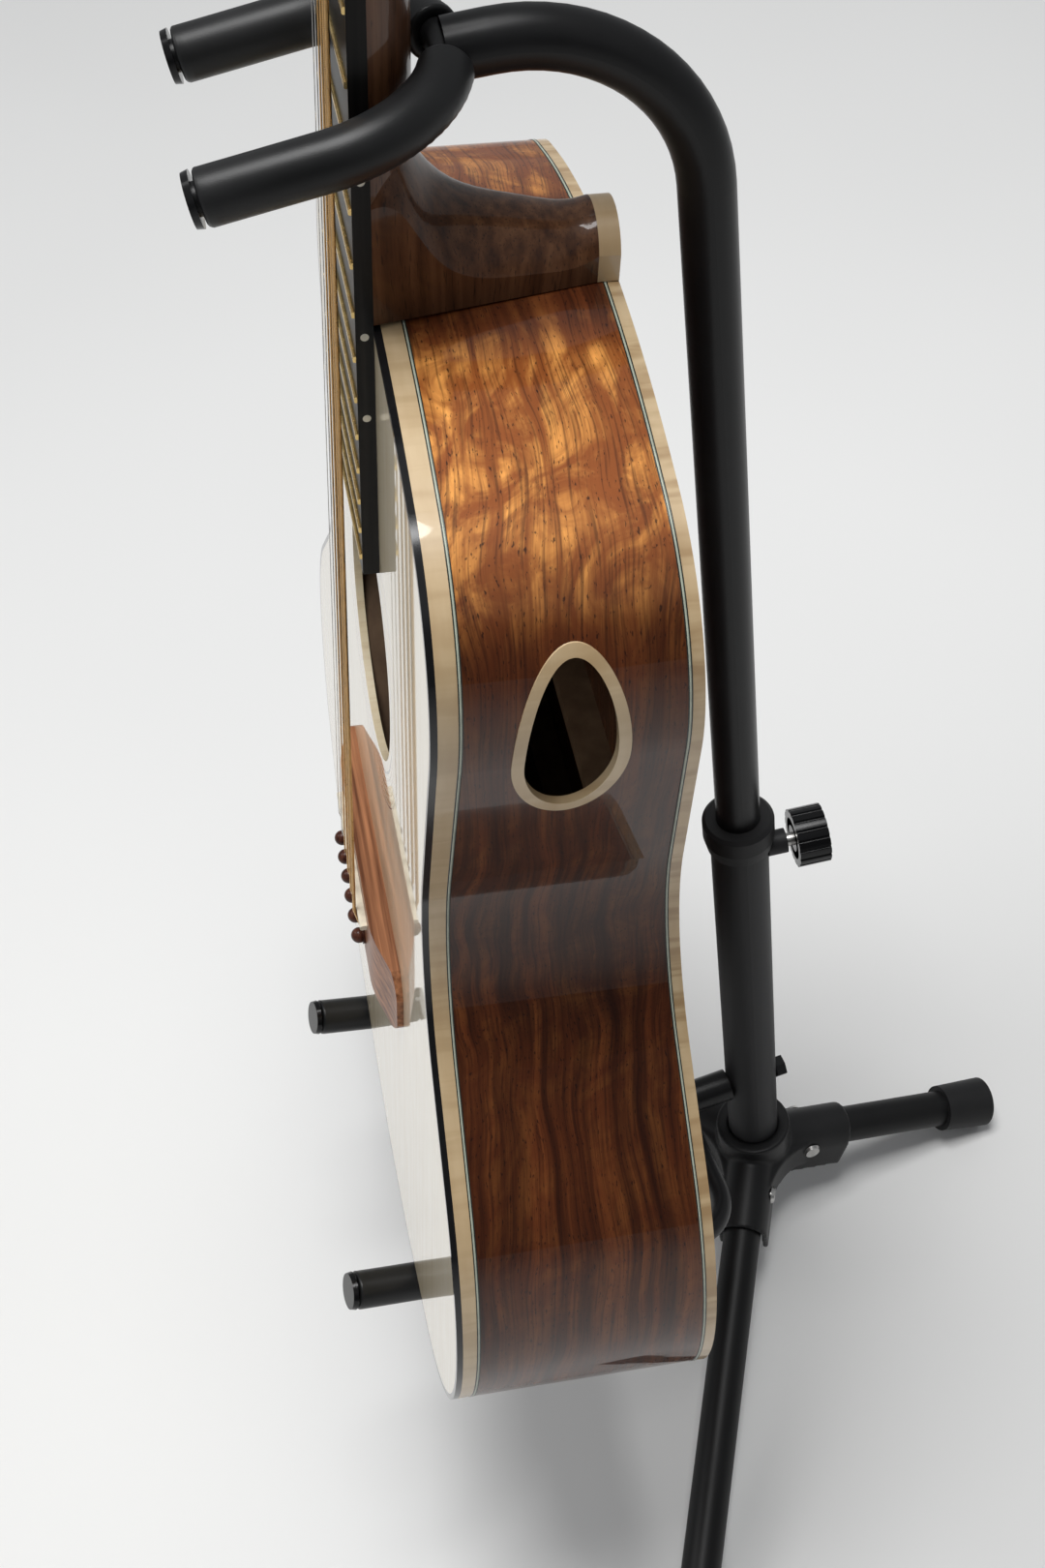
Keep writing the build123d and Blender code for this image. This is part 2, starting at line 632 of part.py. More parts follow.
tuner_names = ("low_e", "a", "d", "g", "b", "high_e")
for tuner_name, (tuner_x, tuner_y, tuner_side) in zip(tuner_names, course_places):
    with BuildPart() as post:
        with BuildSketch(head_back.offset(-housing_height)):
            with Locations((tuner_x, tuner_y)):
                Circle(post_radius)
        extrude(amount=housing_height + head_thickness + veneer_thickness + post_stand)
        chamfer(post.edges().filter_by(GeomType.CIRCLE).sort_by(Axis.Z)[-1], post_chamfer)
    keep("tuner_post_" + tuner_name, post.part, guitar_place)
    worm_plane = Plane(
        origin=head_back.from_local_coords((tuner_x, tuner_y + 2 * post_radius, -housing_height / 2)),
        x_dir=(0, 1, 0), z_dir=(tuner_side, 0, 0))
    with BuildPart() as button:
        with BuildSketch(worm_plane.offset(-housing_width / 2)):
            Circle(worm_radius)
        extrude(amount=housing_width + worm_reach)
        with BuildSketch(worm_plane.offset(housing_width / 2 + running_gap)):
            Circle(worm_collar)
        extrude(amount=worm_collar_length)
        with BuildSketch(worm_plane.offset(housing_width / 2 + worm_reach)):
            RectangleRounded(button_long, button_thick, button_thick * button_round)
        extrude(amount=button_wide)
        chamfer(button.faces().filter_by(Plane.YZ).sort_by(Axis.X)[-1 if tuner_side > 0 else 0].edges(), button_chamfer)
    keep("tuner_button_" + tuner_name, button.part, guitar_place)

# Stand: upright, mast with yoke, clamp
base_spin = math.radians(base_turn)
base_front = Plane(origin=(0, 0, 0), x_dir=(math.cos(base_spin), math.sin(base_spin), 0),
                   z_dir=(math.sin(base_spin), -math.cos(base_spin), 0))
with BuildPart() as outer_tube:
    with BuildSketch(Plane.XY.offset(tube_bottom)):
        Circle(tube_radius)
        Circle(tube_radius - tube_wall, mode=Mode.SUBTRACT)
    extrude(amount=tube_top - tube_bottom)
    with BuildSketch(Plane.XZ.offset(-tube_radius + tube_wall / 2)):
        with Locations((0, clamp_height)):
            Circle(boss_radius)
    extrude(amount=-boss_length - tube_wall / 2)
    with BuildSketch(Plane.XZ):
        with Locations((0, clamp_height)):
            Circle(screw_radius + post_gap)
    extrude(amount=-2 * tube_radius, mode=Mode.SUBTRACT)
    with BuildSketch(base_front):
        with Locations((0, cradle_height)):
            Circle(bolt_radius)
    extrude(amount=2 * tube_radius, both=True, mode=Mode.SUBTRACT)
keep("outer_tube", outer_tube.part)

bend_start = yoke_height - neck_bend_radius
yoke_turn = math.radians(yoke_pitch)
yoke_plane = Plane(origin=(0, -yoke_forward, yoke_height), x_dir=(1, 0, 0),
                   z_dir=(0, -math.sin(yoke_turn), math.cos(yoke_turn)))


def yoke_route(back_off):
    """Centre line of the yoke, starting and ending a distance behind the tips."""
    with BuildLine(yoke_plane) as route:
        Line((yoke_half, back_off - yoke_reach), (yoke_half, -yoke_half))
        ThreePointArc((yoke_half, -yoke_half), (0, 0), (-yoke_half, -yoke_half))
        Line((-yoke_half, -yoke_half), (-yoke_half, back_off - yoke_reach))
    return route.line


def tip_plane(side, back_off):
    """Plane across a yoke arm, facing forwards."""
    tip = yoke_plane.from_local_coords((side * yoke_half, back_off - yoke_reach, 0))
    return Plane(origin=tip, x_dir=(1, 0, 0), z_dir=-yoke_plane.y_dir)


with BuildPart() as mast:
    with BuildLine(Plane.YZ) as mast_route:
        Line((0, mast_bottom), (0, bend_start))
        CenterArc((-neck_bend_radius, bend_start), neck_bend_radius, 0, 90)
        Line((-neck_bend_radius, yoke_height), (-yoke_forward, yoke_height))
    with BuildSketch(Plane.XY.offset(mast_bottom)):
        Circle(mast_radius)
        Circle(mast_radius - mast_wall, mode=Mode.SUBTRACT)
    sweep(path=mast_route.line)
    with BuildSketch(tip_plane(1, 0)):
        Circle(rod_radius)
    sweep(path=yoke_route(0))
keep("mast", mast.part)

with BuildPart() as yoke_sleeves:
    with BuildSketch(tip_plane(1, foam_bare)):
        Circle(foam_radius)
        Circle(rod_radius, mode=Mode.SUBTRACT)
    sweep(path=yoke_route(foam_bare))
    with BuildSketch(Plane.XZ.offset(yoke_forward)):
        with Locations((0, yoke_height)):
            Circle(mast_radius + post_gap)
    extrude(amount=-2 * foam_radius, mode=Mode.SUBTRACT)
keep("yoke_sleeves", yoke_sleeves.part)

with BuildPart() as yoke_caps:
    for side in (1, -1):
        with BuildSketch(tip_plane(side, 0)):
            Circle(cap_radius)
        extrude(amount=cap_thickness, taper=cap_taper)
keep("yoke_caps", yoke_caps.part)

with BuildPart() as collar:
    with BuildSketch(Plane.XZ):
        with BuildLine():
            Polyline((mast_radius + post_gap, tube_top), (tube_radius, tube_top),
                     (tube_radius, tube_top - collar_height), (tube_radius + collar_lip, tube_top - collar_height),
                     (collar_radius, tube_top - collar_height / 2), (collar_radius, tube_top + collar_lip),
                     (collar_radius - collar_lip, tube_top + 2 * collar_lip),
                     (mast_radius + post_gap, tube_top + 2 * collar_lip), close=True)
        make_face()
    revolve(axis=Axis.Z)
    with BuildSketch(Plane.XZ):
        with Locations((0, clamp_height)):
            Circle(boss_radius + running_gap)
    extrude(amount=-2 * collar_radius, mode=Mode.SUBTRACT)
keep("collar", collar.part)

with BuildPart() as clamp_screw:
    with BuildSketch(Plane.XZ.offset(-mast_radius - running_gap)):
        with Locations((0, clamp_height)):
            Circle(screw_radius)
    extrude(amount=-(knob_start + knob_length / 2 - mast_radius - running_gap))
keep("clamp_screw", clamp_screw.part)

with BuildPart() as clamp_knob:
    with BuildSketch(Plane.XZ.offset(-knob_start)):
        with Locations((0, clamp_height)):
            Circle(knob_radius)
            Circle(knob_hollow, mode=Mode.SUBTRACT)
            Circle(screw_radius * 2)
            with PolarLocations(knob_radius, knob_flutes):
                Circle(knob_flute, mode=Mode.SUBTRACT)
            Circle(screw_radius, mode=Mode.SUBTRACT)
    extrude(amount=-knob_length)
    with BuildSketch(Plane.XZ.offset(-knob_start - knob_length + knob_face)):
        with Locations((0, clamp_height)):
            Circle(knob_hollow + knob_flute)
    extrude(amount=-knob_face)
    with BuildSketch(Plane.XZ.offset(-mast_radius - running_gap)):
        with Locations((0, clamp_height)):
            Circle(screw_radius)
    extrude(amount=-(knob_start + knob_length / 2 - mast_radius - running_gap), mode=Mode.SUBTRACT)
keep("clamp_knob", clamp_knob.part)

# Tripod hub, legs and feet
def leg_reach(slope):
    """Length from the upright to the foot's end that sets the foot's lower edge on the floor."""
    fall = leg_hub_height + foot_flat - foot_radius * math.cos(math.radians(slope))
    return fall / math.sin(math.radians(slope))


leg_specs = {
    "rear": (90.0 + base_turn, leg_slope_rear, leg_reach(leg_slope_rear)),
    "near": (-30.0 + base_turn, leg_slope_front, leg_reach(leg_slope_front)),
    "far": (210.0 + base_turn, leg_slope_front, leg_reach(leg_slope_front)),
}


def leg_plane(spec, reach):
    """Plane across a leg at a distance from the upright, x level and normal outwards."""
    azimuth, slope = math.radians(spec[0]), math.radians(spec[1])
    outward = Vector(math.cos(azimuth) * math.cos(slope), math.sin(azimuth) * math.cos(slope), -math.sin(slope))
    across = Vector(-math.sin(azimuth), math.cos(azimuth), 0)
    start = Vector(0, 0, leg_hub_height)
    return Plane(origin=start + outward * reach, x_dir=across, z_dir=outward)


def channel(radius):
    """Round-topped channel section, open below."""
    with BuildSketch() as section:
        Circle(radius)
        with Locations((0, -(leg_radius + socket_skirt) / 2)):
            Rectangle(2 * radius, leg_radius + socket_skirt)
        with Locations((0, -2 * radius - socket_skirt)):
            Rectangle(4 * radius, 2 * radius, mode=Mode.SUBTRACT)
    return section.sketch


socket_inside = leg_radius + socket_gap
ball_room = pivot_reach - socket_inside - socket_gap
with BuildPart() as hub:
    with BuildSketch(Plane.XY.offset(leg_hub_height - hub_radius)):
        Circle(hub_radius)
    extrude(amount=hub_top - leg_hub_height + hub_radius)
    for spec in leg_specs.values():
        with BuildSketch(leg_plane(spec, 0)):
            add(channel(socket_inside + socket_wall))
        extrude(amount=socket_reach)
    for spec in leg_specs.values():
        with BuildSketch(leg_plane(spec, ball_room)):
            add(channel(socket_inside))
            with Locations((0, -leg_radius - socket_skirt)):
                Rectangle(2 * socket_inside, 2 * socket_skirt)
        extrude(amount=socket_reach, mode=Mode.SUBTRACT)
    with BuildSketch(Plane.XY.offset(tube_bottom)):
        Circle(tube_radius)
    extrude(amount=hub_top, mode=Mode.SUBTRACT)
    for spec in leg_specs.values():
        pin_plane = leg_plane(spec, pivot_reach)
        with BuildSketch(Plane(origin=pin_plane.origin, z_dir=pin_plane.x_dir)):
            Circle(leg_pin_radius)
        extrude(amount=2 * hub_radius, both=True, mode=Mode.SUBTRACT)
keep("hub", hub.part)

for leg_name, spec in leg_specs.items():
    pin_plane = leg_plane(spec, pivot_reach)
    with BuildPart() as leg:
        with BuildSketch(pin_plane):
            Circle(leg_radius)
        extrude(amount=spec[2] - pivot_reach - foot_end)
        with Locations(pin_plane.location):
            Sphere(leg_radius)
        with BuildSketch(leg_plane(spec, pivot_reach + 2 * leg_radius)):
            Circle(leg_radius - leg_wall)
        extrude(amount=spec[2], mode=Mode.SUBTRACT)
        with BuildSketch(Plane(origin=pin_plane.origin, z_dir=pin_plane.x_dir)):
            Circle(leg_pin_radius + post_gap)
        extrude(amount=2 * leg_radius, both=True, mode=Mode.SUBTRACT)
    keep("leg_" + leg_name, leg.part)
    with BuildPart() as foot:
        with BuildSketch(leg_plane(spec, spec[2] - foot_length)):
            Circle(foot_radius - small_chamfer)
        with BuildSketch(leg_plane(spec, spec[2])):
            Circle(foot_radius)
        loft()
        with BuildSketch(leg_plane(spec, spec[2] - foot_length)):
            Circle(leg_radius)
        extrude(amount=foot_length - foot_end, mode=Mode.SUBTRACT)
        split(bisect_by=Plane.XY, keep=Keep.TOP)
    keep("foot_" + leg_name, foot.part)

with BuildPart() as leg_pins:
    for spec in leg_specs.values():
        pin_plane = leg_plane(spec, pivot_reach)
        head_reach = socket_inside + socket_wall
        with BuildSketch(Plane(origin=pin_plane.origin, z_dir=pin_plane.x_dir)):
            Circle(leg_pin_radius)
        extrude(amount=head_reach, both=True)
        for turn in (1, -1):
            with BuildSketch(Plane(origin=pin_plane.origin + pin_plane.x_dir * head_reach * turn,
                                   z_dir=pin_plane.x_dir * turn)):
                Circle(leg_pin_head)
            extrude(amount=leg_pin_dome, taper=leg_pin_taper)
keep("leg_pins", leg_pins.part)

# Lower cradle bolted to the front of the upright
cradle_turn = (Location((0, 0, 0), (0, 0, base_turn)) * Location((0, 0, cradle_height), (0, -cradle_roll, 0))
               * Location((0, 0, -cradle_height)))
slope_turn = math.radians(cradle_slope)
arm_up = (0, -math.cos(slope_turn), math.sin(slope_turn))
arm_normal = (0, math.sin(slope_turn), math.cos(slope_turn))
cradle_plane = Plane(origin=(0, -cradle_stem, cradle_height), x_dir=(-1, 0, 0), z_dir=arm_normal)
cradle_tips = ((cradle_half, cradle_reach_far), (-cradle_half, cradle_reach_near))
with BuildPart() as cradle_bar:
    with BuildLine(cradle_plane) as bar_route:
        FilletPolyline(cradle_tips[0], (cradle_half, 0), (-cradle_half, 0), cradle_tips[1], radius=cradle_bend)
    with BuildSketch(Plane(origin=bar_route.line @ 0, z_dir=bar_route.line % 0)):
        Circle(rod_radius)
    sweep(path=bar_route.line)
    with BuildSketch(Plane.XZ.offset(tube_radius)):
        with Locations((0, cradle_height)):
            Circle(stem_radius)
    extrude(amount=cradle_stem - tube_radius)
    with BuildSketch(Plane.XZ):
        with Locations((0, cradle_height)):
            Circle(bolt_radius)
    extrude(amount=tube_radius + bolt_bite, mode=Mode.SUBTRACT)
with BuildPart() as fitted_bar:
    add(cradle_bar.part.moved(cradle_turn))
    with BuildSketch(Plane.XY.offset(cradle_height - 2 * stem_radius)):
        Circle(tube_radius + post_gap)
    extrude(amount=4 * stem_radius, mode=Mode.SUBTRACT)
keep("cradle_bar", fitted_bar.part)

with BuildPart() as cradle_sleeves:
    for arm_x, arm_reach in cradle_tips:
        arm_place = cradle_plane.from_local_coords((arm_x, arm_reach - foam_bare, 0))
        with BuildSketch(Plane(origin=arm_place, z_dir=(-Vector(*arm_up)))):
            Circle(foam_radius)
            Circle(rod_radius, mode=Mode.SUBTRACT)
        extrude(amount=cradle_foam)
keep("cradle_sleeves", cradle_sleeves.part, cradle_turn)

with BuildPart() as cradle_caps:
    for arm_x, arm_reach in cradle_tips:
        arm_place = cradle_plane.from_local_coords((arm_x, arm_reach, 0))
        with BuildSketch(Plane(origin=arm_place, z_dir=arm_up)):
            Circle(cap_radius)
        extrude(amount=cap_thickness, taper=cap_taper)
keep("cradle_caps", cradle_caps.part, cradle_turn)

with BuildPart() as cradle_bolt:
    with BuildSketch(Plane.XZ.offset(-tube_radius - bolt_head_height)):
        with Locations((0, cradle_height)):
            Circle(bolt_radius)
    extrude(amount=2 * tube_radius + bolt_head_height + bolt_bite)
    with BuildSketch(Plane.XZ.offset(-tube_radius)):
        with Locations((0, cradle_height)):
            RegularPolygon(bolt_head, 6)
    extrude(amount=-bolt_head_height)
keep("cradle_bolt", cradle_bolt.part, cradle_turn)

# Put the origin at the middle of the underside and write the pieces
boxes = [piece.bounding_box() for piece in pieces.values()]
low_x, high_x = min(box.min.X for box in boxes), max(box.max.X for box in boxes)
low_y, high_y = min(box.min.Y for box in boxes), max(box.max.Y for box in boxes)
floor_shift = Location((-(low_x + high_x) / 2, -(low_y + high_y) / 2, 0))
os.makedirs("parts", exist_ok=True)
for name, piece in pieces.items():
    export_step(piece.moved(floor_shift), "parts/" + name + ".step")
print("origin shift", floor_shift.position)
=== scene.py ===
import math

import bpy
from mathutils import Matrix, Vector


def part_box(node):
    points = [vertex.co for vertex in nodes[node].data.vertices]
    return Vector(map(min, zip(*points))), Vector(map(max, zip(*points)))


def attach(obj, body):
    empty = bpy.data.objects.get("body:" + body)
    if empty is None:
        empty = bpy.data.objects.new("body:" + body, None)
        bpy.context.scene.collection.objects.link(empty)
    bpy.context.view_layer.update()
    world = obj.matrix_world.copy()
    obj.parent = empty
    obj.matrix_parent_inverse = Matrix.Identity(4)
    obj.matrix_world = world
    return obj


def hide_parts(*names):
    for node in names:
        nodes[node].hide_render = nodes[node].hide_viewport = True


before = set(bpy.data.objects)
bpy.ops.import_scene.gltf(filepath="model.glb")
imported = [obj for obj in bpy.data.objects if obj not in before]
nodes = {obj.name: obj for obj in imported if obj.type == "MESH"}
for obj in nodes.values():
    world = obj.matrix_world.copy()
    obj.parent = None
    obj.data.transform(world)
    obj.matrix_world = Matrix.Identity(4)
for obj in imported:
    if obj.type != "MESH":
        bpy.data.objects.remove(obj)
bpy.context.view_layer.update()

# Shared frame, in metres: the upright's axis, and the guitar's own axes from its saddle
TUBE_RADIUS = 0.0127
LEAN = math.radians(8.56)
tube_low, tube_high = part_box("outer_tube")
UPRIGHT = Vector(((tube_low.x + tube_high.x) / 2, tube_low.y + TUBE_RADIUS, 0.0))
SADDLE = UPRIGHT + Vector((0.0, -0.1541, 0.352))
ACROSS = Vector((1.0, 0.0, 0.0))
ALONG = Vector((0.0, math.sin(LEAN), math.cos(LEAN)))
OUTWARD = Vector((0.0, -math.cos(LEAN), math.sin(LEAN)))
GUITAR = Matrix.Translation(SADDLE) @ Matrix((ACROSS, ALONG, OUTWARD)).transposed().to_4x4()
GUITAR_TILT = math.pi / 2 - LEAN


class Shade:
    """One node material around a Principled shader."""

    def __init__(self, name, **values):
        self.mat = bpy.data.materials.new(name)
        self.mat.use_nodes = True
        self.tree = self.mat.node_tree
        self.tree.nodes.clear()
        self.out = self.tree.nodes.new("ShaderNodeOutputMaterial")
        self.bsdf = self.tree.nodes.new("ShaderNodeBsdfPrincipled")
        self.tree.links.new(self.bsdf.outputs[0], self.out.inputs[0])
        for key, value in values.items():
            self.set(self.bsdf, key.replace("_", " "), value)

    def set(self, node, key, value):
        if isinstance(value, bpy.types.NodeSocket):
            self.tree.links.new(value, node.inputs[key])
        else:
            node.inputs[key].default_value = value

    def add(self, kind, inputs=None, out=0, **props):
        node = self.tree.nodes.new(kind)
        for key, value in props.items():
            setattr(node, key, value)
        for key, value in (inputs or {}).items():
            self.set(node, key, value)
        return node.outputs[out]

    def math(self, op, a, b=0.0):
        return self.add("ShaderNodeMath", {0: a, 1: b}, operation=op)

    def span(self, value, low, high):
        return self.add("ShaderNodeMapRange", {0: value, 1: low, 2: high}, interpolation_type="SMOOTHSTEP")

    def mix(self, fac, a, b):
        return self.add("ShaderNodeMix", {0: fac, 6: a, 7: b}, out=2, data_type="RGBA")

    def ramp(self, fac, stops):
        node = self.tree.nodes.new("ShaderNodeValToRGB")
        self.set(node, 0, fac)
        ramp = node.color_ramp
        while len(ramp.elements) < len(stops):
            ramp.elements.new(1.0)
        for element, (at, colour) in zip(ramp.elements, stops):
            element.position = at
            element.color = rgba(colour)
        return node.outputs[0]

    def noise(self, vector, scale=1.0, detail=4.0, rough=0.55, distort=0.0):
        return self.add("ShaderNodeTexNoise", {"Vector": vector, "Scale": scale, "Detail": detail,
                                               "Roughness": rough, "Distortion": distort})

    def join(self, x, y, z=0.0):
        return self.add("ShaderNodeCombineXYZ", {0: x, 1: y, 2: z})

    def grid(self, first, often, second, dense, layer=0.0):
        """Two coordinates, each scaled, for a pattern on a surface."""
        return self.join(self.math("MULTIPLY", first, often), self.math("MULTIPLY", second, dense), layer)

    def stretch(self, vector, x, y, z):
        return self.add("ShaderNodeVectorMath", {0: vector, 1: (x, y, z)}, operation="MULTIPLY")

    def row(self):
        """Coordinates in the row's frame."""
        return self.add("ShaderNodeTexCoord", out=3)

    def guitar(self):
        """Coordinates in the guitar's own frame."""
        turn = Matrix.Rotation(-GUITAR_TILT, 3, "X")
        return self.add("ShaderNodeMapping", {"Vector": self.row(), "Rotation": (-GUITAR_TILT, 0.0, 0.0),
                                              "Location": -(turn @ SADDLE)})

    def parts(self, vector):
        node = self.tree.nodes.new("ShaderNodeSeparateXYZ")
        self.set(node, 0, vector)
        return node.outputs[0], node.outputs[1], node.outputs[2]

    def rim(self):
        """Coordinates along the rim and across its depth, with y of the guitar."""
        x, y, z = self.parts(self.guitar())
        angle = self.math("ARCTAN2", self.math("SUBTRACT", y, RIM_CENTRE), self.math("ABSOLUTE", x))
        return self.math("MULTIPLY", angle, RIM_RADIUS), z, y

    def plate(self):
        """Coordinates along the back and out from its centre line, with y of the guitar."""
        x, y, z = self.parts(self.guitar())
        return y, self.math("ABSOLUTE", x), y

    def colour(self, socket):
        self.set(self.bsdf, "Base Color", socket)

    def bump(self, height, strength, distance):
        normal = self.add("ShaderNodeBump", {"Height": height, "Strength": strength, "Distance": distance})
        self.set(self.bsdf, "Normal", normal)

    def rough(self, socket, low, high):
        self.set(self.bsdf, "Roughness", self.add("ShaderNodeMapRange", {0: socket, 3: low, 4: high}))


def rgba(colour):
    return (*colour, 1.0)


RIM_CENTRE = 0.05
RIM_RADIUS = 0.25
LACQUER = {"Coat_Weight": 1.0, "Coat_Roughness": 0.025, "Coat_IOR": 1.5}


def spruce():
    """Pale fine-grained wood with a silky figure."""
    s = Shade("spruce", Roughness=0.38, **LACQUER)
    v = s.guitar()
    grain = s.noise(s.stretch(v, 620.0, 5.0, 60.0), detail=3.0)
    silk = s.noise(s.stretch(v, 60.0, 28.0, 20.0), detail=5.0)
    lines = s.ramp(grain, [(0.30, (0.66, 0.50, 0.30)), (0.46, (0.80, 0.67, 0.45)),
                           (0.70, (0.85, 0.74, 0.53))])
    sheen = s.ramp(silk, [(0.35, (0.76, 0.62, 0.40)), (0.65, (0.87, 0.77, 0.57))])
    s.colour(s.mix(0.35, lines, sheen))
    return s.mat


# Stretches of the guitar's length, from off to on: the lower and upper end of the painted pool of light,
# and the painted light rising towards the upper bout
PAINTED_LIGHT_LOW, PAINTED_LIGHT_HIGH, PAINTED_LIGHT_RISE = (0.238, 0.268), (0.2822, 0.2785), (0.120, 0.245)
PORE_DARK = (0.010, 0.004, 0.003, 1.0)
STREAK_DARK = (0.022, 0.006, 0.003, 1.0)
BAND_DARK = (0.018, 0.0050, 0.0024, 1.0)
# painted light: gold-brown for the pool of light in the upper bout
PAINTED_LIGHT_GOLD = (0.44, 0.126, 0.026, 1.0)
# painted light: warm brown for the light rising towards the upper bout
PAINTED_LIGHT_BROWN = (0.150, 0.038, 0.0110, 1.0)
# painted sheen: bright gold for the curl where the light falls
PAINTED_SHEEN_GOLD = (0.95, 0.42, 0.100, 1.0)


def figured(name, painted_light, flat=False):
    """Dark red-brown figured wood, with a painted pool of light and a painted sheen on the curl in the
    upper bout; flat is for the mirrored back.
    """
    s = Shade(name, Roughness=0.45, Coat_Weight=0.7, Coat_Roughness=0.02, Coat_IOR=1.5,
              Specular_IOR_Level=0.08)
    along, deep, up = s.plate() if flat else s.rim()
    wander = s.noise(s.grid(along, 9.0, deep, 16.0), detail=2.0)
    bent = s.math("ADD", deep, s.math("MULTIPLY", s.math("SUBTRACT", wander, 0.5), 0.022))
    streak = s.noise(s.grid(along, 7.0, bent, 190.0), detail=6.0, rough=0.6)
    band = s.noise(s.grid(along, 4.0, bent, 48.0, 3.0), detail=4.0)
    fine = s.noise(s.grid(along, 26.0, bent, 900.0, 7.0), detail=3.0)
    fleck = s.noise(s.grid(along, 330.0, bent, 1150.0, 5.0), detail=2.0)
    slant = s.math("ADD", along, s.math("MULTIPLY", deep, 0.45))
    curl = s.noise(s.grid(slant, 38.0, deep, 46.0, 2.0), detail=4.0, rough=0.6, distort=1.6)
    base = s.ramp(streak, [(0.28, (0.021, 0.0055, 0.0023)), (0.46, (0.068, 0.0170, 0.0056)),
                           (0.58, (0.112, 0.0290, 0.0086)), (0.75, (0.160, 0.0450, 0.0130))])
    base = s.mix(s.span(band, 0.40, 0.62), base, s.mix(0.5, base, BAND_DARK))
    # painted sheen: the curl lifted towards bright gold, mostly where the painted pool of light falls
    painted_sheen = s.math("MULTIPLY", s.span(curl, 0.36, 0.72), s.span(streak, 0.34, 0.60))
    # where the painted pool of light falls, in the upper bout
    place = s.math("MULTIPLY", s.span(up, *PAINTED_LIGHT_LOW), s.span(up, *PAINTED_LIGHT_HIGH))
    # painted light rising along the body towards the upper bout
    light_rise = s.span(up, *PAINTED_LIGHT_RISE)
    # painted pool of light: gold-brown laid over the grain
    gold = s.mix(s.math("MULTIPLY", place, 0.65 * painted_light), base, PAINTED_LIGHT_GOLD)
    gold = s.mix(s.math("MULTIPLY", light_rise, 0.22), gold, PAINTED_LIGHT_BROWN)
    painted_sheen = s.math("MULTIPLY", painted_sheen, s.math("ADD", s.math("MULTIPLY", place, 0.90 * painted_light), 0.05))
    with_painted_sheen = s.mix(painted_sheen, gold, PAINTED_SHEEN_GOLD)
    thin = s.mix(s.span(fine, 0.48, 0.66), with_painted_sheen, s.mix(0.55, with_painted_sheen, STREAK_DARK))
    s.colour(s.mix(s.span(fleck, 0.60, 0.70), thin, s.mix(0.8, thin, PORE_DARK)))
    return s.mat


def maple(name, flame):
    """Pale wood with a curl across the strip."""
    s = Shade(name, Roughness=0.36, Coat_Weight=0.6, Coat_Roughness=0.03, Coat_IOR=1.5)
    along, deep, up = s.rim()
    curl = s.noise(s.grid(along, 95.0, deep, 14.0), detail=3.0, distort=0.6)
    cloud = s.noise(s.grid(along, 14.0, deep, 60.0, 4.0), detail=4.0)
    pale = s.ramp(cloud, [(0.30, (0.48, 0.33, 0.175)), (0.65, (0.61, 0.465, 0.28))])
    s.colour(s.mix(s.math("MULTIPLY", s.span(curl, 0.42, 0.64), flame), pale, (0.36, 0.23, 0.11, 1.0)))
    return s.mat


def neck_wood():
    """Brown wood with a wandering grain and dark pores."""
    s = Shade("mahogany", Roughness=0.40, Coat_Weight=0.4, Coat_Roughness=0.03, Coat_IOR=1.5,
              Specular_IOR_Level=0.15)
    v = s.guitar()
    warp = s.noise(s.stretch(v, 14.0, 6.0, 14.0), detail=2.0)
    x, y, z = s.parts(v)
    bent = s.join(s.math("ADD", x, s.math("MULTIPLY", warp, 0.012)), y,
                  s.math("ADD", z, s.math("MULTIPLY", warp, 0.02)))
    grain = s.noise(s.stretch(bent, 260.0, 9.0, 260.0), detail=5.0)
    pores = s.noise(s.stretch(bent, 1500.0, 110.0, 1500.0), detail=2.0)
    wood = s.ramp(grain, [(0.30, (0.042, 0.0155, 0.0070)), (0.50, (0.090, 0.036, 0.0150)),
                          (0.72, (0.150, 0.066, 0.029))])
    s.colour(s.mix(s.span(pores, 0.58, 0.68), wood, s.mix(0.7, wood, (0.012, 0.006, 0.004, 1.0))))
    return s.mat


def dark_wood(name, low, high, across, rough):
    """Close-grained dark wood; across runs the grain over the guitar instead of along it."""
    s = Shade(name, Roughness=rough, Specular_IOR_Level=0.18)
    v = s.guitar()
    scale = (12.0, 420.0, 420.0) if across else (420.0, 8.0, 420.0)
    grain = s.noise(s.stretch(v, *scale), detail=5.0)
    pores = s.noise(s.stretch(v, *[2.6 * n for n in scale]), detail=2.0)
    s.colour(s.ramp(grain, [(0.34, low), (0.68, high)]))
    s.bump(pores, 0.12, 0.0002)
    return s.mat


def plain_wood(name, low, high):
    """Unfinished wood inside the body, its given colours darkened with painted shade for the inside of the
    body.
    """
    s = Shade(name, Roughness=0.62)
    v = s.guitar()
    grain = s.noise(s.stretch(v, 120.0, 10.0, 120.0), detail=5.0)
    s.colour(s.ramp(grain, [(0.32, low), (0.70, high)]))
    s.bump(grain, 0.15, 0.0003)
    return s.mat


HOLE_Y, ROSETTE_INNER, ROSETTE_OUTER = 0.131, 0.054, 0.068


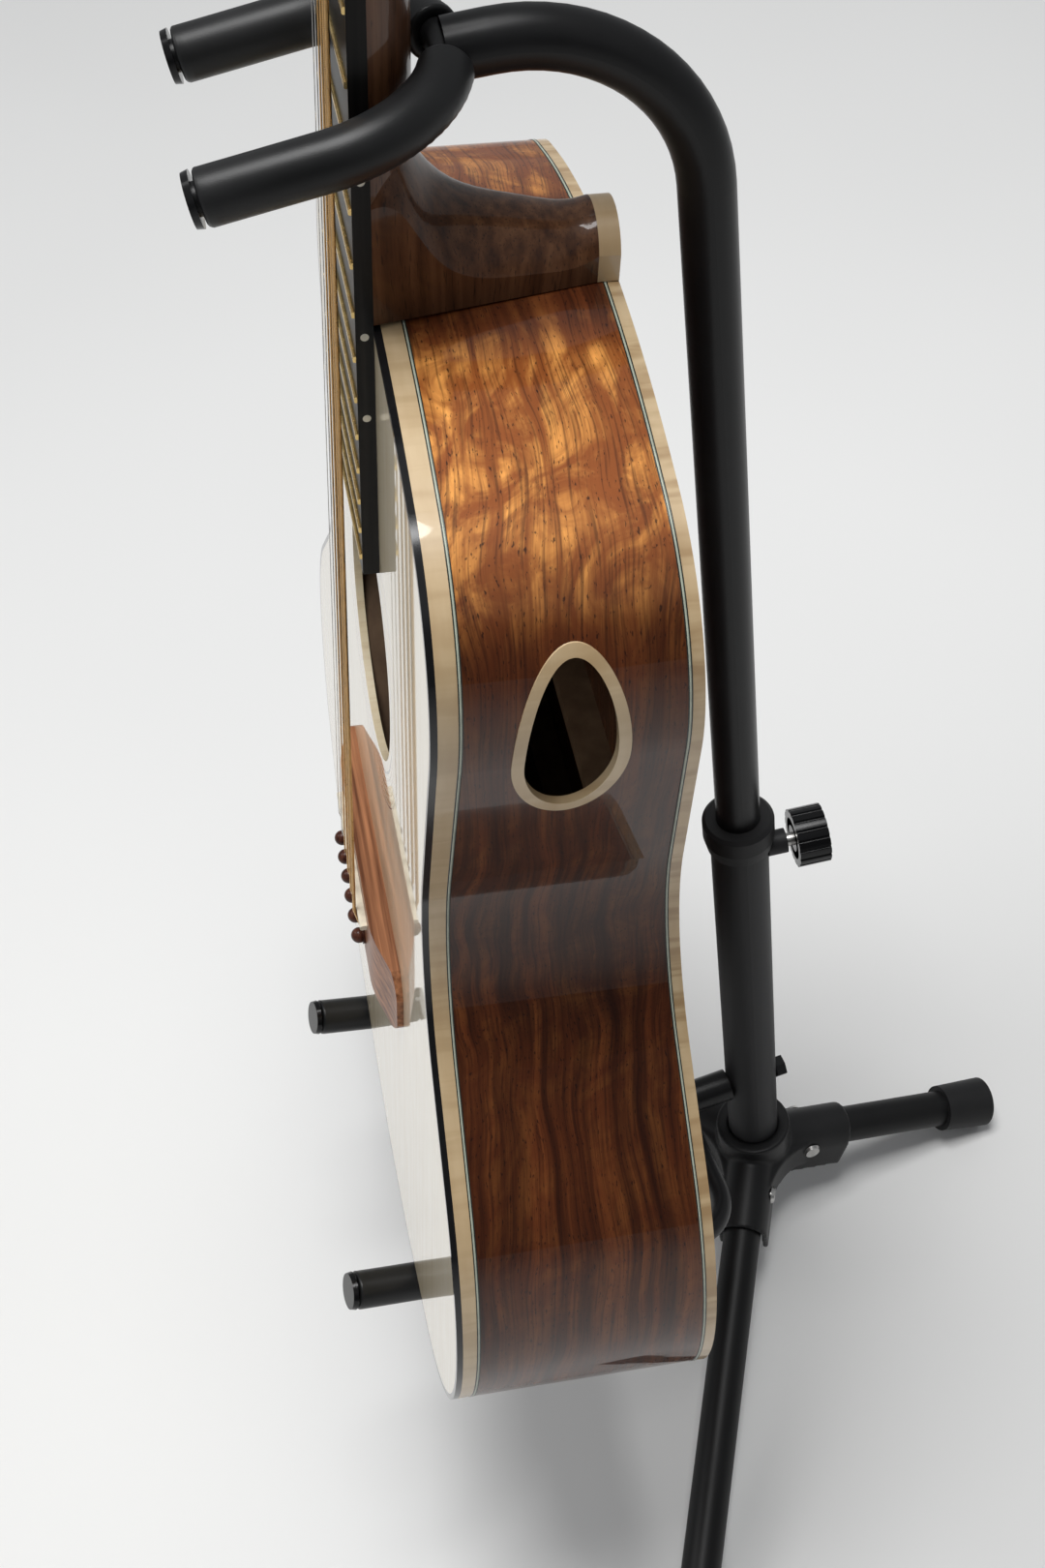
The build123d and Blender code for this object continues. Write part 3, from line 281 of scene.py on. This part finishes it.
def rosette_trim():
    """Cream and gold rings round the sound hole, with dark edges."""
    s = Shade("rosette_trim", Roughness=0.36, **LACQUER)
    x, y, z = s.parts(s.guitar())
    dy = s.math("SUBTRACT", y, HOLE_Y)
    far = s.math("SQRT", s.math("ADD", s.math("MULTIPLY", x, x), s.math("MULTIPLY", dy, dy)))
    place = s.add("ShaderNodeMapRange", {0: far, 1: ROSETTE_INNER, 2: ROSETTE_OUTER})
    cream, gold, dark = (0.80, 0.68, 0.46), (0.50, 0.31, 0.11), (0.03, 0.015, 0.008)
    rings = s.ramp(place, [(0.00, dark), (0.06, cream), (0.20, gold), (0.26, cream), (0.40, gold),
                           (0.47, cream), (0.60, gold), (0.66, cream), (0.80, gold), (0.86, cream),
                           (0.95, dark)])
    rings.node.color_ramp.interpolation = "CONSTANT"
    s.colour(rings)
    return s.mat


def gloss(name, colour, rough):
    """Polished fibre, bone or shell with faint spots."""
    s = Shade(name, Roughness=rough)
    spots = s.noise(s.row(), scale=240.0, detail=3.0)
    s.colour(s.ramp(spots, [(0.3, [0.75 * c for c in colour]), (0.7, colour)]))
    return s.mat


WINDING_PITCH = 0.0005


def metal(name, colour, rough, scale, wound=False):
    """Bare metal with faint marks; wound adds the fine winding of a string."""
    s = Shade(name, Metallic=1.0)
    v = s.row()
    marks = s.noise(s.stretch(v, scale, scale, scale * 0.2), detail=4.0)
    s.colour(s.ramp(marks, [(0.3, [0.72 * c for c in colour]), (0.7, colour)]))
    s.rough(marks, rough * 0.7, rough * 1.3)
    if wound:
        x, y, z = s.parts(s.guitar())
        turns = s.math("SINE", s.math("MULTIPLY", y, 2.0 * math.pi / WINDING_PITCH))
        s.bump(turns, 0.5, 0.0001)
    return s.mat


def coated(name, colour, rough, grit, depth, tall=1.0):
    """Painted or moulded dark surface with a fine skin."""
    s = Shade(name, Specular_IOR_Level=0.25)
    v = s.stretch(s.row(), 1.0, 1.0, tall)
    skin = s.noise(v, scale=grit, detail=5.0)
    cloud = s.noise(v, scale=22.0, detail=4.0)
    s.colour(s.ramp(cloud, [(0.3, [0.70 * c for c in colour]), (0.7, [1.25 * c for c in colour])]))
    s.rough(cloud, rough * 0.82, rough * 1.15)
    s.bump(skin, depth, 0.0002)
    return s.mat


SPRUCE = spruce()
# Copies of one figured wood, differing only in painted light: full on the near side, half on the far side,
# least on the back
SIDE = figured("figured_side", 1.0)
FAR_SIDE = figured("figured_far_side", 0.5)
BACK = figured("figured_back", 0.3, flat=True)
MAPLE = maple("maple", 0.35)
FLAMED = maple("flamed_maple", 0.9)
MAHOGANY = neck_wood()
EBONY = dark_wood("ebony", (0.003, 0.0027, 0.0024), (0.012, 0.0100, 0.0085), False, 0.34)
BRIDGE_WOOD = dark_wood("bridge_wood", (0.120, 0.044, 0.021), (0.420, 0.185, 0.090), True, 0.36)
PIN_WOOD = dark_wood("pin_wood", (0.035, 0.011, 0.008), (0.11, 0.038, 0.022), False, 0.25)
# wood colour, darkened with painted shade for the inside of the body
INNER_PAINTED_SHADE = plain_wood("inner_wood", (0.090, 0.048, 0.022), (0.150, 0.090, 0.046))
ROSETTE = rosette_trim()
BLACK_EDGE = gloss("black_edge", (0.010, 0.010, 0.011), 0.12)
BONE = gloss("bone", (0.80, 0.73, 0.58), 0.35)
DOT = gloss("dot", (0.78, 0.74, 0.62), 0.3)
GOLD = metal("gold_fret", (0.86, 0.63, 0.27), 0.26, 300.0)
BRONZE = metal("bronze_wire", (0.70, 0.43, 0.18), 0.30, 900.0, wound=True)
STEEL = metal("steel_wire", (0.72, 0.71, 0.69), 0.24, 900.0)
ROD = metal("rod_steel", (0.45, 0.45, 0.46), 0.4, 120.0)
TUNER = metal("tuner_metal", (0.80, 0.68, 0.40), 0.22, 120.0)
ZINC = metal("zinc", (0.62, 0.61, 0.59), 0.34, 260.0)
MAST_COAT = coated("mast_coat", (0.0105, 0.0105, 0.011), 0.34, 1400.0, 0.10)
TUBE_COAT = coated("tube_coat", (0.017, 0.017, 0.018), 0.52, 900.0, 0.22, 0.15)
LEG_COAT = coated("leg_coat", (0.0062, 0.0062, 0.0064), 0.46, 900.0, 0.18)
HUB_PLASTIC = coated("hub_plastic", (0.012, 0.012, 0.0125), 0.46, 700.0, 0.18)
KNOB_PLASTIC = coated("knob_plastic", (0.006, 0.006, 0.0065), 0.16, 300.0, 0.04)
RUBBER = coated("rubber", (0.013, 0.013, 0.0135), 0.55, 800.0, 0.2)
FOAM = coated("foam", (0.0130, 0.0132, 0.0136), 0.38, 2200.0, 0.16)
PURFLE_DARK = gloss("purfling_dark", (0.020, 0.026, 0.020), 0.25)
PURFLE_PALE = gloss("purfling_pale", (0.48, 0.52, 0.42), 0.3)

LOOKS = {
    "soundboard": SPRUCE, "rosette": ROSETTE, "edge_strip": BLACK_EDGE, "top_binding": MAPLE,
    "back_binding": FLAMED, "side_bass": SIDE, "side_treble": FAR_SIDE, "back_plate": BACK,
    "soundport_ring": MAPLE, "heel_cap": MAPLE, "braces": INNER_PAINTED_SHADE, "linings": INNER_PAINTED_SHADE, "neck_block": INNER_PAINTED_SHADE,
    "tail_block": INNER_PAINTED_SHADE, "bridge_plate": INNER_PAINTED_SHADE, "neck": MAHOGANY, "headstock_veneer": EBONY,
    "fretboard": EBONY, "frets": GOLD, "side_dots": DOT, "nut": BONE, "saddle": BONE,
    "bridge": BRIDGE_WOOD, "bridge_pins": PIN_WOOD, "wound_strings": BRONZE, "plain_strings": STEEL,
    "truss_rod": ROD, "tuner_housings": TUNER, "outer_tube": TUBE_COAT, "mast": MAST_COAT,
    "cradle_bar": MAST_COAT, "leg_rear": LEG_COAT, "leg_near": LEG_COAT, "leg_far": LEG_COAT,
    "hub": HUB_PLASTIC, "collar": RUBBER, "clamp_knob": KNOB_PLASTIC, "clamp_screw": ZINC,
    "yoke_sleeves": FOAM, "cradle_sleeves": FOAM, "yoke_caps": KNOB_PLASTIC,
    "cradle_caps": KNOB_PLASTIC, "cradle_bolt": MAST_COAT, "leg_pins": ZINC, "foot_rear": RUBBER,
    "foot_near": RUBBER, "foot_far": RUBBER,
}
for name, obj in nodes.items():
    look = LOOKS.get(name, TUNER)
    obj.data.materials.clear()
    obj.data.materials.append(look)


def piece(name, verts, faces, material, body, slot):
    """A new mesh piece in the row's frame, riding on a body."""
    mesh = bpy.data.meshes.new(name)
    mesh.from_pydata([tuple(v) for v in verts], [], faces)
    mesh.update()
    mesh.validate()
    mesh.polygons.foreach_set("use_smooth", [True] * len(mesh.polygons))
    mesh.materials.append(material)
    obj = bpy.data.objects.new(name, mesh)
    bpy.context.scene.collection.objects.link(obj)
    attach(obj, body)
    return obj


# Body outline, as in the solids
BODY_JOINT, TAIL_Y = 0.283, -0.181
DEPTH_NECK, DEPTH_TAIL = 0.080, 0.106
UPPER, UPPER_R = (0.079, 0.209), 0.060
WAIST, WAIST_R = (0.215, 0.113), 0.092
LOWER, LOWER_R = (0.101, -0.054), 0.105
SHOULDER_R, TAIL_R = 0.285, 0.315
SHOULDER, TAIL = (0.0, BODY_JOINT - SHOULDER_R), (0.0, TAIL_Y + TAIL_R)


def tangent(first, second, share, side):
    dx, dy = second[0] - first[0], second[1] - first[1]
    return math.atan2(dy, dx) + side * math.acos(share / math.hypot(dx, dy))


def arc(centre, radius, start, end, count):
    turns = [start + (end - start) * i / count for i in range(count + 1)]
    return [(centre[0] + radius * math.cos(t), centre[1] + radius * math.sin(t)) for t in turns]


def outline(grow):
    """Points round the body from the neck joint, grown outwards by a distance."""
    shoulder = tangent(SHOULDER, UPPER, SHOULDER_R - UPPER_R, 1)
    upper = tangent(UPPER, WAIST, UPPER_R + WAIST_R, 1)
    waist = tangent(WAIST, LOWER, WAIST_R + LOWER_R, -1) % (2 * math.pi)
    tail = tangent(LOWER, TAIL, LOWER_R - TAIL_R, 1) % (2 * math.pi) - 2 * math.pi
    half = arc(SHOULDER, SHOULDER_R + grow, math.pi / 2, shoulder, 12)
    half += arc(UPPER, UPPER_R + grow, shoulder, upper, 40)
    half += arc(WAIST, WAIST_R - grow, upper + math.pi, waist, 30)
    half += arc(LOWER, LOWER_R + grow, waist - math.pi, tail, 60)
    half += arc(TAIL, TAIL_R + grow, tail, -math.pi / 2, 24)
    return half + [(-x, y) for x, y in reversed(half[1:-1])]


def back_depth(y):
    return DEPTH_NECK + (DEPTH_TAIL - DEPTH_NECK) * (BODY_JOINT - y) / (BODY_JOINT - TAIL_Y)


def band(name, depth, high, material, slot, proud=0.00012, sunk=0.0006):
    """Thin inlaid line round the body: depth gives its upper edge at a point of the outline."""
    inner, outer = outline(-sunk), outline(proud)
    count = len(inner)
    verts, faces = [], []
    for (ix, iy), (ox, oy) in zip(inner, outer):
        top = -depth(iy)
        for x, y, z in ((ix, iy, top), (ox, oy, top), (ox, oy, top - high), (ix, iy, top - high)):
            verts.append(GUITAR @ Vector((x, y, z)))
    for i in range(count):
        a, b = 4 * i, 4 * ((i + 1) % count)
        for k in range(4):
            n = (k + 1) % 4
            faces.append((a + k, b + k, b + n, a + n))
    return piece(name, verts, faces, material, "guitar", slot)


EDGE_HEIGHT, TOP_BINDING_NECK, TOP_BINDING_TAIL = 0.0023, 0.0066, 0.0046
BACK_LINE = 0.0039
LINE_DARK, LINE_PALE = 0.0004, 0.0006


def top_foot(y):
    """Depth of the top binding's lower edge."""
    share = (BODY_JOINT - y) / (BODY_JOINT - TAIL_Y)
    return EDGE_HEIGHT + TOP_BINDING_NECK + (TOP_BINDING_TAIL - TOP_BINDING_NECK) * share


for line_name, at, high, look in (
    ("top_line_dark", 0.0, LINE_DARK, PURFLE_DARK),
    ("top_line_pale", LINE_DARK, LINE_PALE, PURFLE_PALE),
    ("top_line_inner", LINE_DARK + LINE_PALE, LINE_DARK, PURFLE_DARK),
):
    band(line_name, lambda y, at=at: top_foot(y) + at, high, look, "black_fibre")
for line_name, at, high, look in (
    ("back_line_dark", BACK_LINE + LINE_DARK, LINE_DARK, PURFLE_DARK),
    ("back_line_pale", BACK_LINE + LINE_DARK + LINE_PALE, LINE_PALE, PURFLE_PALE),
    ("back_line_inner", BACK_LINE + 2 * LINE_DARK + LINE_PALE, LINE_DARK, PURFLE_DARK),
):
    band(line_name, lambda y, at=at: back_depth(y) - at, high, look, "black_fibre")


def frames_along(points):
    """Unit directions and steady cross axes along a line of points."""
    last = len(points) - 1
    turns = [(points[min(i + 1, last)] - points[max(i - 1, 0)]).normalized() for i in range(last + 1)]
    side = turns[0].orthogonal().normalized()
    out = []
    for turn in turns:
        side = (side - turn * side.dot(turn)).normalized()
        out.append((turn, side, turn.cross(side)))
    return out


def circle(centre, side, up, radius, sides):
    """Ring of points; radius gives the distance at an angle."""
    turns = [2 * math.pi * k / sides for k in range(sides)]
    return [centre + (side * math.cos(a) + up * math.sin(a)) * radius(a) for a in turns]


def sleeve(points, radius, bore, wave, sides=56):
    """Closed foam tube round a bore: vertices and faces, with rounded ends and a wave on its skin."""
    axes = frames_along(points)
    rings = []
    for i, (p, (turn, side, up)) in enumerate(zip(points, axes)):
        share = i / (len(points) - 1)
        rings.append(circle(p, side, up, lambda a, share=share: radius + wave(share, a), sides))
    for end in (0, -1):
        p, (turn, side, up) = points[end], axes[end]
        out = turn if end else -turn
        soft = []
        for step in range(1, LIP_STEPS + 1):
            t = math.pi / 2 * step / LIP_STEPS
            r = radius - FOAM_LIP * (1 - math.cos(t))
            soft.append(circle(p + out * (FOAM_LIP * math.sin(t)), side, up, lambda a, r=r: r, sides))
        soft.append(circle(p + out * FOAM_LIP, side, up, lambda a: bore, sides))
        rings = rings + soft if end else list(reversed(soft)) + rings
    for p, (turn, side, up) in reversed(list(zip(points, axes))):
        rings.append(circle(p, side, up, lambda a: bore, sides))
    verts = [v for ring in rings for v in ring]
    faces = []
    count = len(rings)
    for i in range(count):
        a, b = i * sides, ((i + 1) % count) * sides
        for k in range(sides):
            n = (k + 1) % sides
            faces.append((a + k, a + n, b + n, b + k))
    return verts, faces


def together(parts):
    """Vertices and faces of several shells as one."""
    verts, faces = [], []
    for v, f in parts:
        base = len(verts)
        verts += v
        faces += [tuple(base + i for i in face) for face in f]
    return verts, faces


# Foam on the yoke and on the cradle
YOKE_Z, YOKE_FORWARD, YOKE_HALF, YOKE_REACH = 0.7007, 0.0754, 0.040, 0.0783
YOKE_PITCH = math.radians(4.9)
FOAM_RADIUS, FOAM_BORE, FOAM_BARE, FOAM_LIP, LIP_STEPS = 0.0085, 0.0051, 0.0010, 0.0014, 4
YOKE_END = math.radians(73.0)
PRONG_STEPS, BEND_STEPS, ARM_STEPS = 14, 40, 40
FOLDS, FOLD_HEIGHT, FOLD_START, FOLD_BLEND, FOLD_TWIST, FOLD_TURN = 21, 0.00012, 0.35, 0.3, 1.3, 2.2
SWELL_HEIGHT, SWELL_RATE = 0.00015, 5
ARM_SWELL, ARM_RATE, ARM_SETTLE = 0.00012, 7, 0.0001
YOKE = (Matrix.Translation(UPRIGHT + Vector((0.0, -YOKE_FORWARD, YOKE_Z)))
        @ Matrix.Rotation(YOKE_PITCH, 4, "X"))


def yoke_line(side):
    """Centre line of one padded prong, from its tip towards the weld."""
    tip = FOAM_BARE + FOAM_LIP - YOKE_REACH
    straight = [Vector((side * YOKE_HALF, tip + (-YOKE_HALF - tip) * i / PRONG_STEPS, 0.0))
                for i in range(PRONG_STEPS)]
    turns = [YOKE_END * i / BEND_STEPS for i in range(BEND_STEPS + 1)]
    bend = [Vector((side * YOKE_HALF * math.cos(t), YOKE_HALF * (math.sin(t) - 1.0), 0.0)) for t in turns]
    return [YOKE @ p for p in straight + bend]


def yoke_wave(side):
    """Skin of one prong: small folds inside its bend, and a slow swell."""
    def wave(t, a):
        bend = max(0.0, min(1.0, (t - FOLD_START) / FOLD_BLEND))
        inside = max(0.0, math.cos(a - FOLD_TURN * side))
        fold = math.sin(2 * math.pi * FOLDS * t + FOLD_TWIST * math.sin(a)) * inside
        return FOLD_HEIGHT * bend * fold + SWELL_HEIGHT * math.sin(SWELL_RATE * t + a)
    return wave


prongs = [sleeve(yoke_line(side), FOAM_RADIUS, FOAM_BORE, yoke_wave(side)) for side in (1, -1)]
yoke_foam = piece("yoke_foam", *together(prongs), FOAM, "mast", "foam")
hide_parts("yoke_sleeves")

CRADLE_Z, CRADLE_STEM, CRADLE_HALF = 0.1201, 0.040, 0.0785
CRADLE_REACH = {1: 0.1925, -1: 0.168}
CRADLE_SLOPE, CRADLE_ROLL, BASE_TURN = math.radians(21.0), math.radians(-1.58), math.radians(8.0)
CRADLE_FOAM = 0.120
CRADLE = (Matrix.Translation(UPRIGHT) @ Matrix.Rotation(BASE_TURN, 4, "Z")
          @ Matrix.Translation((0, 0, CRADLE_Z)) @ Matrix.Rotation(CRADLE_ROLL, 4, "Y"))


def cradle_line(side):
    """Centre line of one padded arm, from its tip back to the bend."""
    out = []
    for i in range(ARM_STEPS + 1):
        reach = CRADLE_REACH[side] - FOAM_BARE - FOAM_LIP - (CRADLE_FOAM - 2 * FOAM_LIP) * i / ARM_STEPS
        out.append(CRADLE @ Vector((side * CRADLE_HALF, -CRADLE_STEM - reach * math.cos(CRADLE_SLOPE),
                                    reach * math.sin(CRADLE_SLOPE))))
    return out


def cradle_wave(t, a):
    """Skin of an arm: a slow swell, a little settled."""
    return ARM_SWELL * math.sin(ARM_RATE * t + a) - ARM_SETTLE


arms = [sleeve(cradle_line(side), FOAM_RADIUS, FOAM_BORE, cradle_wave) for side in (1, -1)]
cradle_foam = piece("cradle_foam", *together(arms), FOAM, "base", "foam")
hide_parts("cradle_sleeves")

# Moulded hub: the hub of the solids with webs between its sockets, rounded off
HUB_Z, SOCKET_OUT, WEB_REACH, WEB_ROOT = 0.058, 0.0122, 0.0285, 0.014
WEB_HIGH, WEB_LOW = 0.006, 0.011
WEB_STEPS, HUB_VOXEL, HUB_ROUNDS = 12, 0.0009, 7
LEGS = ((-22.0, 10.0), (98.0, 19.0), (218.0, 10.0))


def leg_point(leg, along, across):
    """Point beside a leg's axis, at a distance from the upright."""
    turn, slope = math.radians(leg[0]), math.radians(leg[1])
    out = Vector((math.cos(turn), math.sin(turn), 0.0)) * along * math.cos(slope)
    side = Vector((-math.sin(turn), math.cos(turn), 0.0)) * across
    return UPRIGHT + out + side + Vector((0.0, 0.0, HUB_Z - along * math.sin(slope)))


def hub_web(first, second):
    """Hollow-edged plate between two neighbouring sockets."""
    start, end = leg_point(first, WEB_REACH, SOCKET_OUT), leg_point(second, WEB_REACH, -SOCKET_OUT)
    root = (leg_point(first, WEB_ROOT, SOCKET_OUT) + leg_point(second, WEB_ROOT, -SOCKET_OUT)) / 2
    steps = [i / WEB_STEPS for i in range(WEB_STEPS + 1)]
    ring = [UPRIGHT + Vector((0.0, 0.0, HUB_Z))]
    ring += [start * (1 - t) ** 2 + root * 2 * t * (1 - t) + end * t * t for t in steps]
    count = len(ring)
    verts = [p + Vector((0.0, 0.0, WEB_HIGH)) for p in ring]
    verts += [p - Vector((0.0, 0.0, WEB_LOW)) for p in ring]
    faces = [tuple(range(count)), tuple(reversed(range(count, 2 * count)))]
    for i in range(count):
        n = (i + 1) % count
        faces.append((i, i + count, n + count, n))
    return verts, faces


def rounded(obj, voxel, rounds):
    """Merge a piece's shells into one skin and soften its edges."""
    remesh = obj.modifiers.new("remesh", "REMESH")
    remesh.mode = "VOXEL"
    remesh.voxel_size = voxel
    remesh.use_smooth_shade = True
    smooth = obj.modifiers.new("smooth", "SMOOTH")
    smooth.factor = 0.5
    smooth.iterations = rounds
    bpy.context.view_layer.update()
    skin = bpy.data.meshes.new_from_object(obj.evaluated_get(bpy.context.evaluated_depsgraph_get()))
    obj.modifiers.clear()
    obj.data = skin


hub = nodes["hub"]
hub_shell = ([hub.matrix_world @ v.co for v in hub.data.vertices],
             [tuple(f.vertices) for f in hub.data.polygons])
webs = [hub_web(LEGS[i], LEGS[(i + 1) % 3]) for i in range(3)]
hub_moulding = piece("hub_moulding", *together([hub_shell] + webs), HUB_PLASTIC, "base", "black_plastic")
rounded(hub_moulding, HUB_VOXEL, HUB_ROUNDS)
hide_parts("hub")

# Turns of string round the tuner posts
HEAD_ANGLE, HEAD_Y, HEAD_LENGTH = math.radians(13.0), 0.651, 0.186
HEAD_LOW, HEAD_HIGH, TUNER_INSET, TUNER_FIRST, TUNER_PITCH = 0.0335, 0.0365, 0.0115, 0.042, 0.040
POST_RADIUS, STRING_HEIGHT, STRING_STEP = 0.003, 0.004, 0.001
WRAP_TURNS, WRAP_STEPS, WOUND_COUNT = 3, 24, 4
head_along = Vector((0.0, math.cos(HEAD_ANGLE), -math.sin(HEAD_ANGLE)))
head_up = Vector((0.0, math.sin(HEAD_ANGLE), math.cos(HEAD_ANGLE)))
COURSES = (("low_e", 0, 1, 0.00142), ("a", 1, 1, 0.00107), ("d", 2, 1, 0.00081),
           ("g", 2, -1, 0.00061), ("b", 1, -1, 0.00043), ("high_e", 0, -1, 0.00033))


def wire(points, radius, sides=10):
    """Closed round wire along a line of points."""
    verts, faces = [], []
    for p, (turn, side, up) in zip(points, frames_along(points)):
        verts += circle(p, side, up, lambda a: radius, sides)
    for i in range(len(points) - 1):
        for k in range(sides):
            n = (k + 1) % sides
            faces.append((i * sides + k, i * sides + n, (i + 1) * sides + n, (i + 1) * sides + k))
    last = len(verts) - sides
    faces += [tuple(reversed(range(sides))), tuple(range(last, last + sides))]
    return verts, faces


for order, (course, row, side, thick) in enumerate(COURSES):
    y = TUNER_FIRST + row * TUNER_PITCH
    x = side * (HEAD_LOW + (HEAD_HIGH - HEAD_LOW) * y / HEAD_LENGTH - TUNER_INSET)
    foot = Vector((x, HEAD_Y, 0.0)) + head_along * y
    top = STRING_HEIGHT + STRING_STEP * (order % 2)
    reach = POST_RADIUS + thick / 2
    line = []
    for i in range(WRAP_STEPS * WRAP_TURNS + 1):
        a = 2 * math.pi * i / WRAP_STEPS
        out = (ACROSS * math.cos(a) + head_along * math.sin(a)) * reach
        line.append(GUITAR @ (foot + out + head_up * (top - thick * i / WRAP_STEPS)))
    wound = order < WOUND_COUNT
    piece("string_wrap_" + course, *wire(line, thick / 2), BRONZE if wound else STEEL,
          "tuner_post_" + course, "bronze_wire" if wound else "steel_wire")

# Floor, light and camera
FLOOR_REACH = 20.0
mesh = bpy.data.meshes.new("floor")
corners = [(x * FLOOR_REACH, y * FLOOR_REACH, 0) for x, y in ((-1, -1), (1, -1), (1, 1), (-1, 1))]
mesh.from_pydata(corners, [], [(0, 1, 2, 3)])
floor_look = Shade("floor", Roughness=0.9)
paper = floor_look.noise(floor_look.row(), scale=1.4, detail=2.0)
floor_look.colour(floor_look.ramp(paper, [(0.3, (0.78, 0.78, 0.77)), (0.7, (0.82, 0.82, 0.81))]))
mesh.materials.append(floor_look.mat)
floor = bpy.data.objects.new("floor", mesh)
bpy.context.scene.collection.objects.link(floor)


def lamp(name, place, aim, size, power):
    data = bpy.data.lights.new(name, "AREA")
    data.shape = "DISK"
    data.size = size
    data.energy = power
    obj = bpy.data.objects.new(name, data)
    obj.location = place
    obj.rotation_mode = "QUATERNION"
    obj.rotation_quaternion = (Vector(aim) - Vector(place)).to_track_quat("-Z", "Y")
    bpy.context.scene.collection.objects.link(obj)


lamp("key", (0.0, -0.08, 2.75), (0.0, -0.05, 0.2), 1.2, 54.0)
lamp("front", (-0.7, -2.0, 2.6), (0.0, -0.1, 0.4), 1.4, 18.0)

# A pale room, with a dark side on the right
WORLD_BRIGHT, WORLD_DIM, DIM_START, DIM_FULL = 0.31, 0.05, 0.68, 0.90
WORLD_TINT = (0.92, 0.94, 0.97, 1.0)
world = bpy.data.worlds.new("studio")
bpy.context.scene.world = world
world.use_nodes = True
ways = world.node_tree
ways.nodes["Background"].inputs[0].default_value = WORLD_TINT
around = ways.nodes.new("ShaderNodeTexCoord")
split = ways.nodes.new("ShaderNodeSeparateXYZ")
ways.links.new(around.outputs["Generated"], split.inputs[0])
dim = ways.nodes.new("ShaderNodeMapRange")
dim.interpolation_type = "SMOOTHSTEP"
for socket, value in zip(dim.inputs[1:5], (DIM_START, DIM_FULL, WORLD_BRIGHT, WORLD_DIM)):
    socket.default_value = value
ways.links.new(split.outputs[0], dim.inputs[0])
ways.links.new(dim.outputs[0], ways.nodes["Background"].inputs[1])

RIGHT = Vector((0.186629, 0.976161, -0.110810))
DOWN = Vector((0.731250, -0.213350, -0.647885))
FORWARD = Vector((-0.656082, 0.039885, -0.753635))
EYE = UPRIGHT + Vector((0.548148, -0.122295, 1.006586))
FOCAL_SHARE = 2112.0 / 1620.0
SENSOR = 36.0
lens = bpy.data.cameras.new("camera")
lens.sensor_width = SENSOR
lens.lens = FOCAL_SHARE * SENSOR
camera = bpy.data.objects.new("camera", lens)
bpy.context.scene.collection.objects.link(camera)
camera.matrix_world = Matrix.Translation(EYE) @ Matrix((RIGHT, -DOWN, -FORWARD)).transposed().to_4x4()
bpy.context.scene.camera = camera
bpy.context.scene.view_settings.view_transform = "Standard"

bpy.context.view_layer.update()
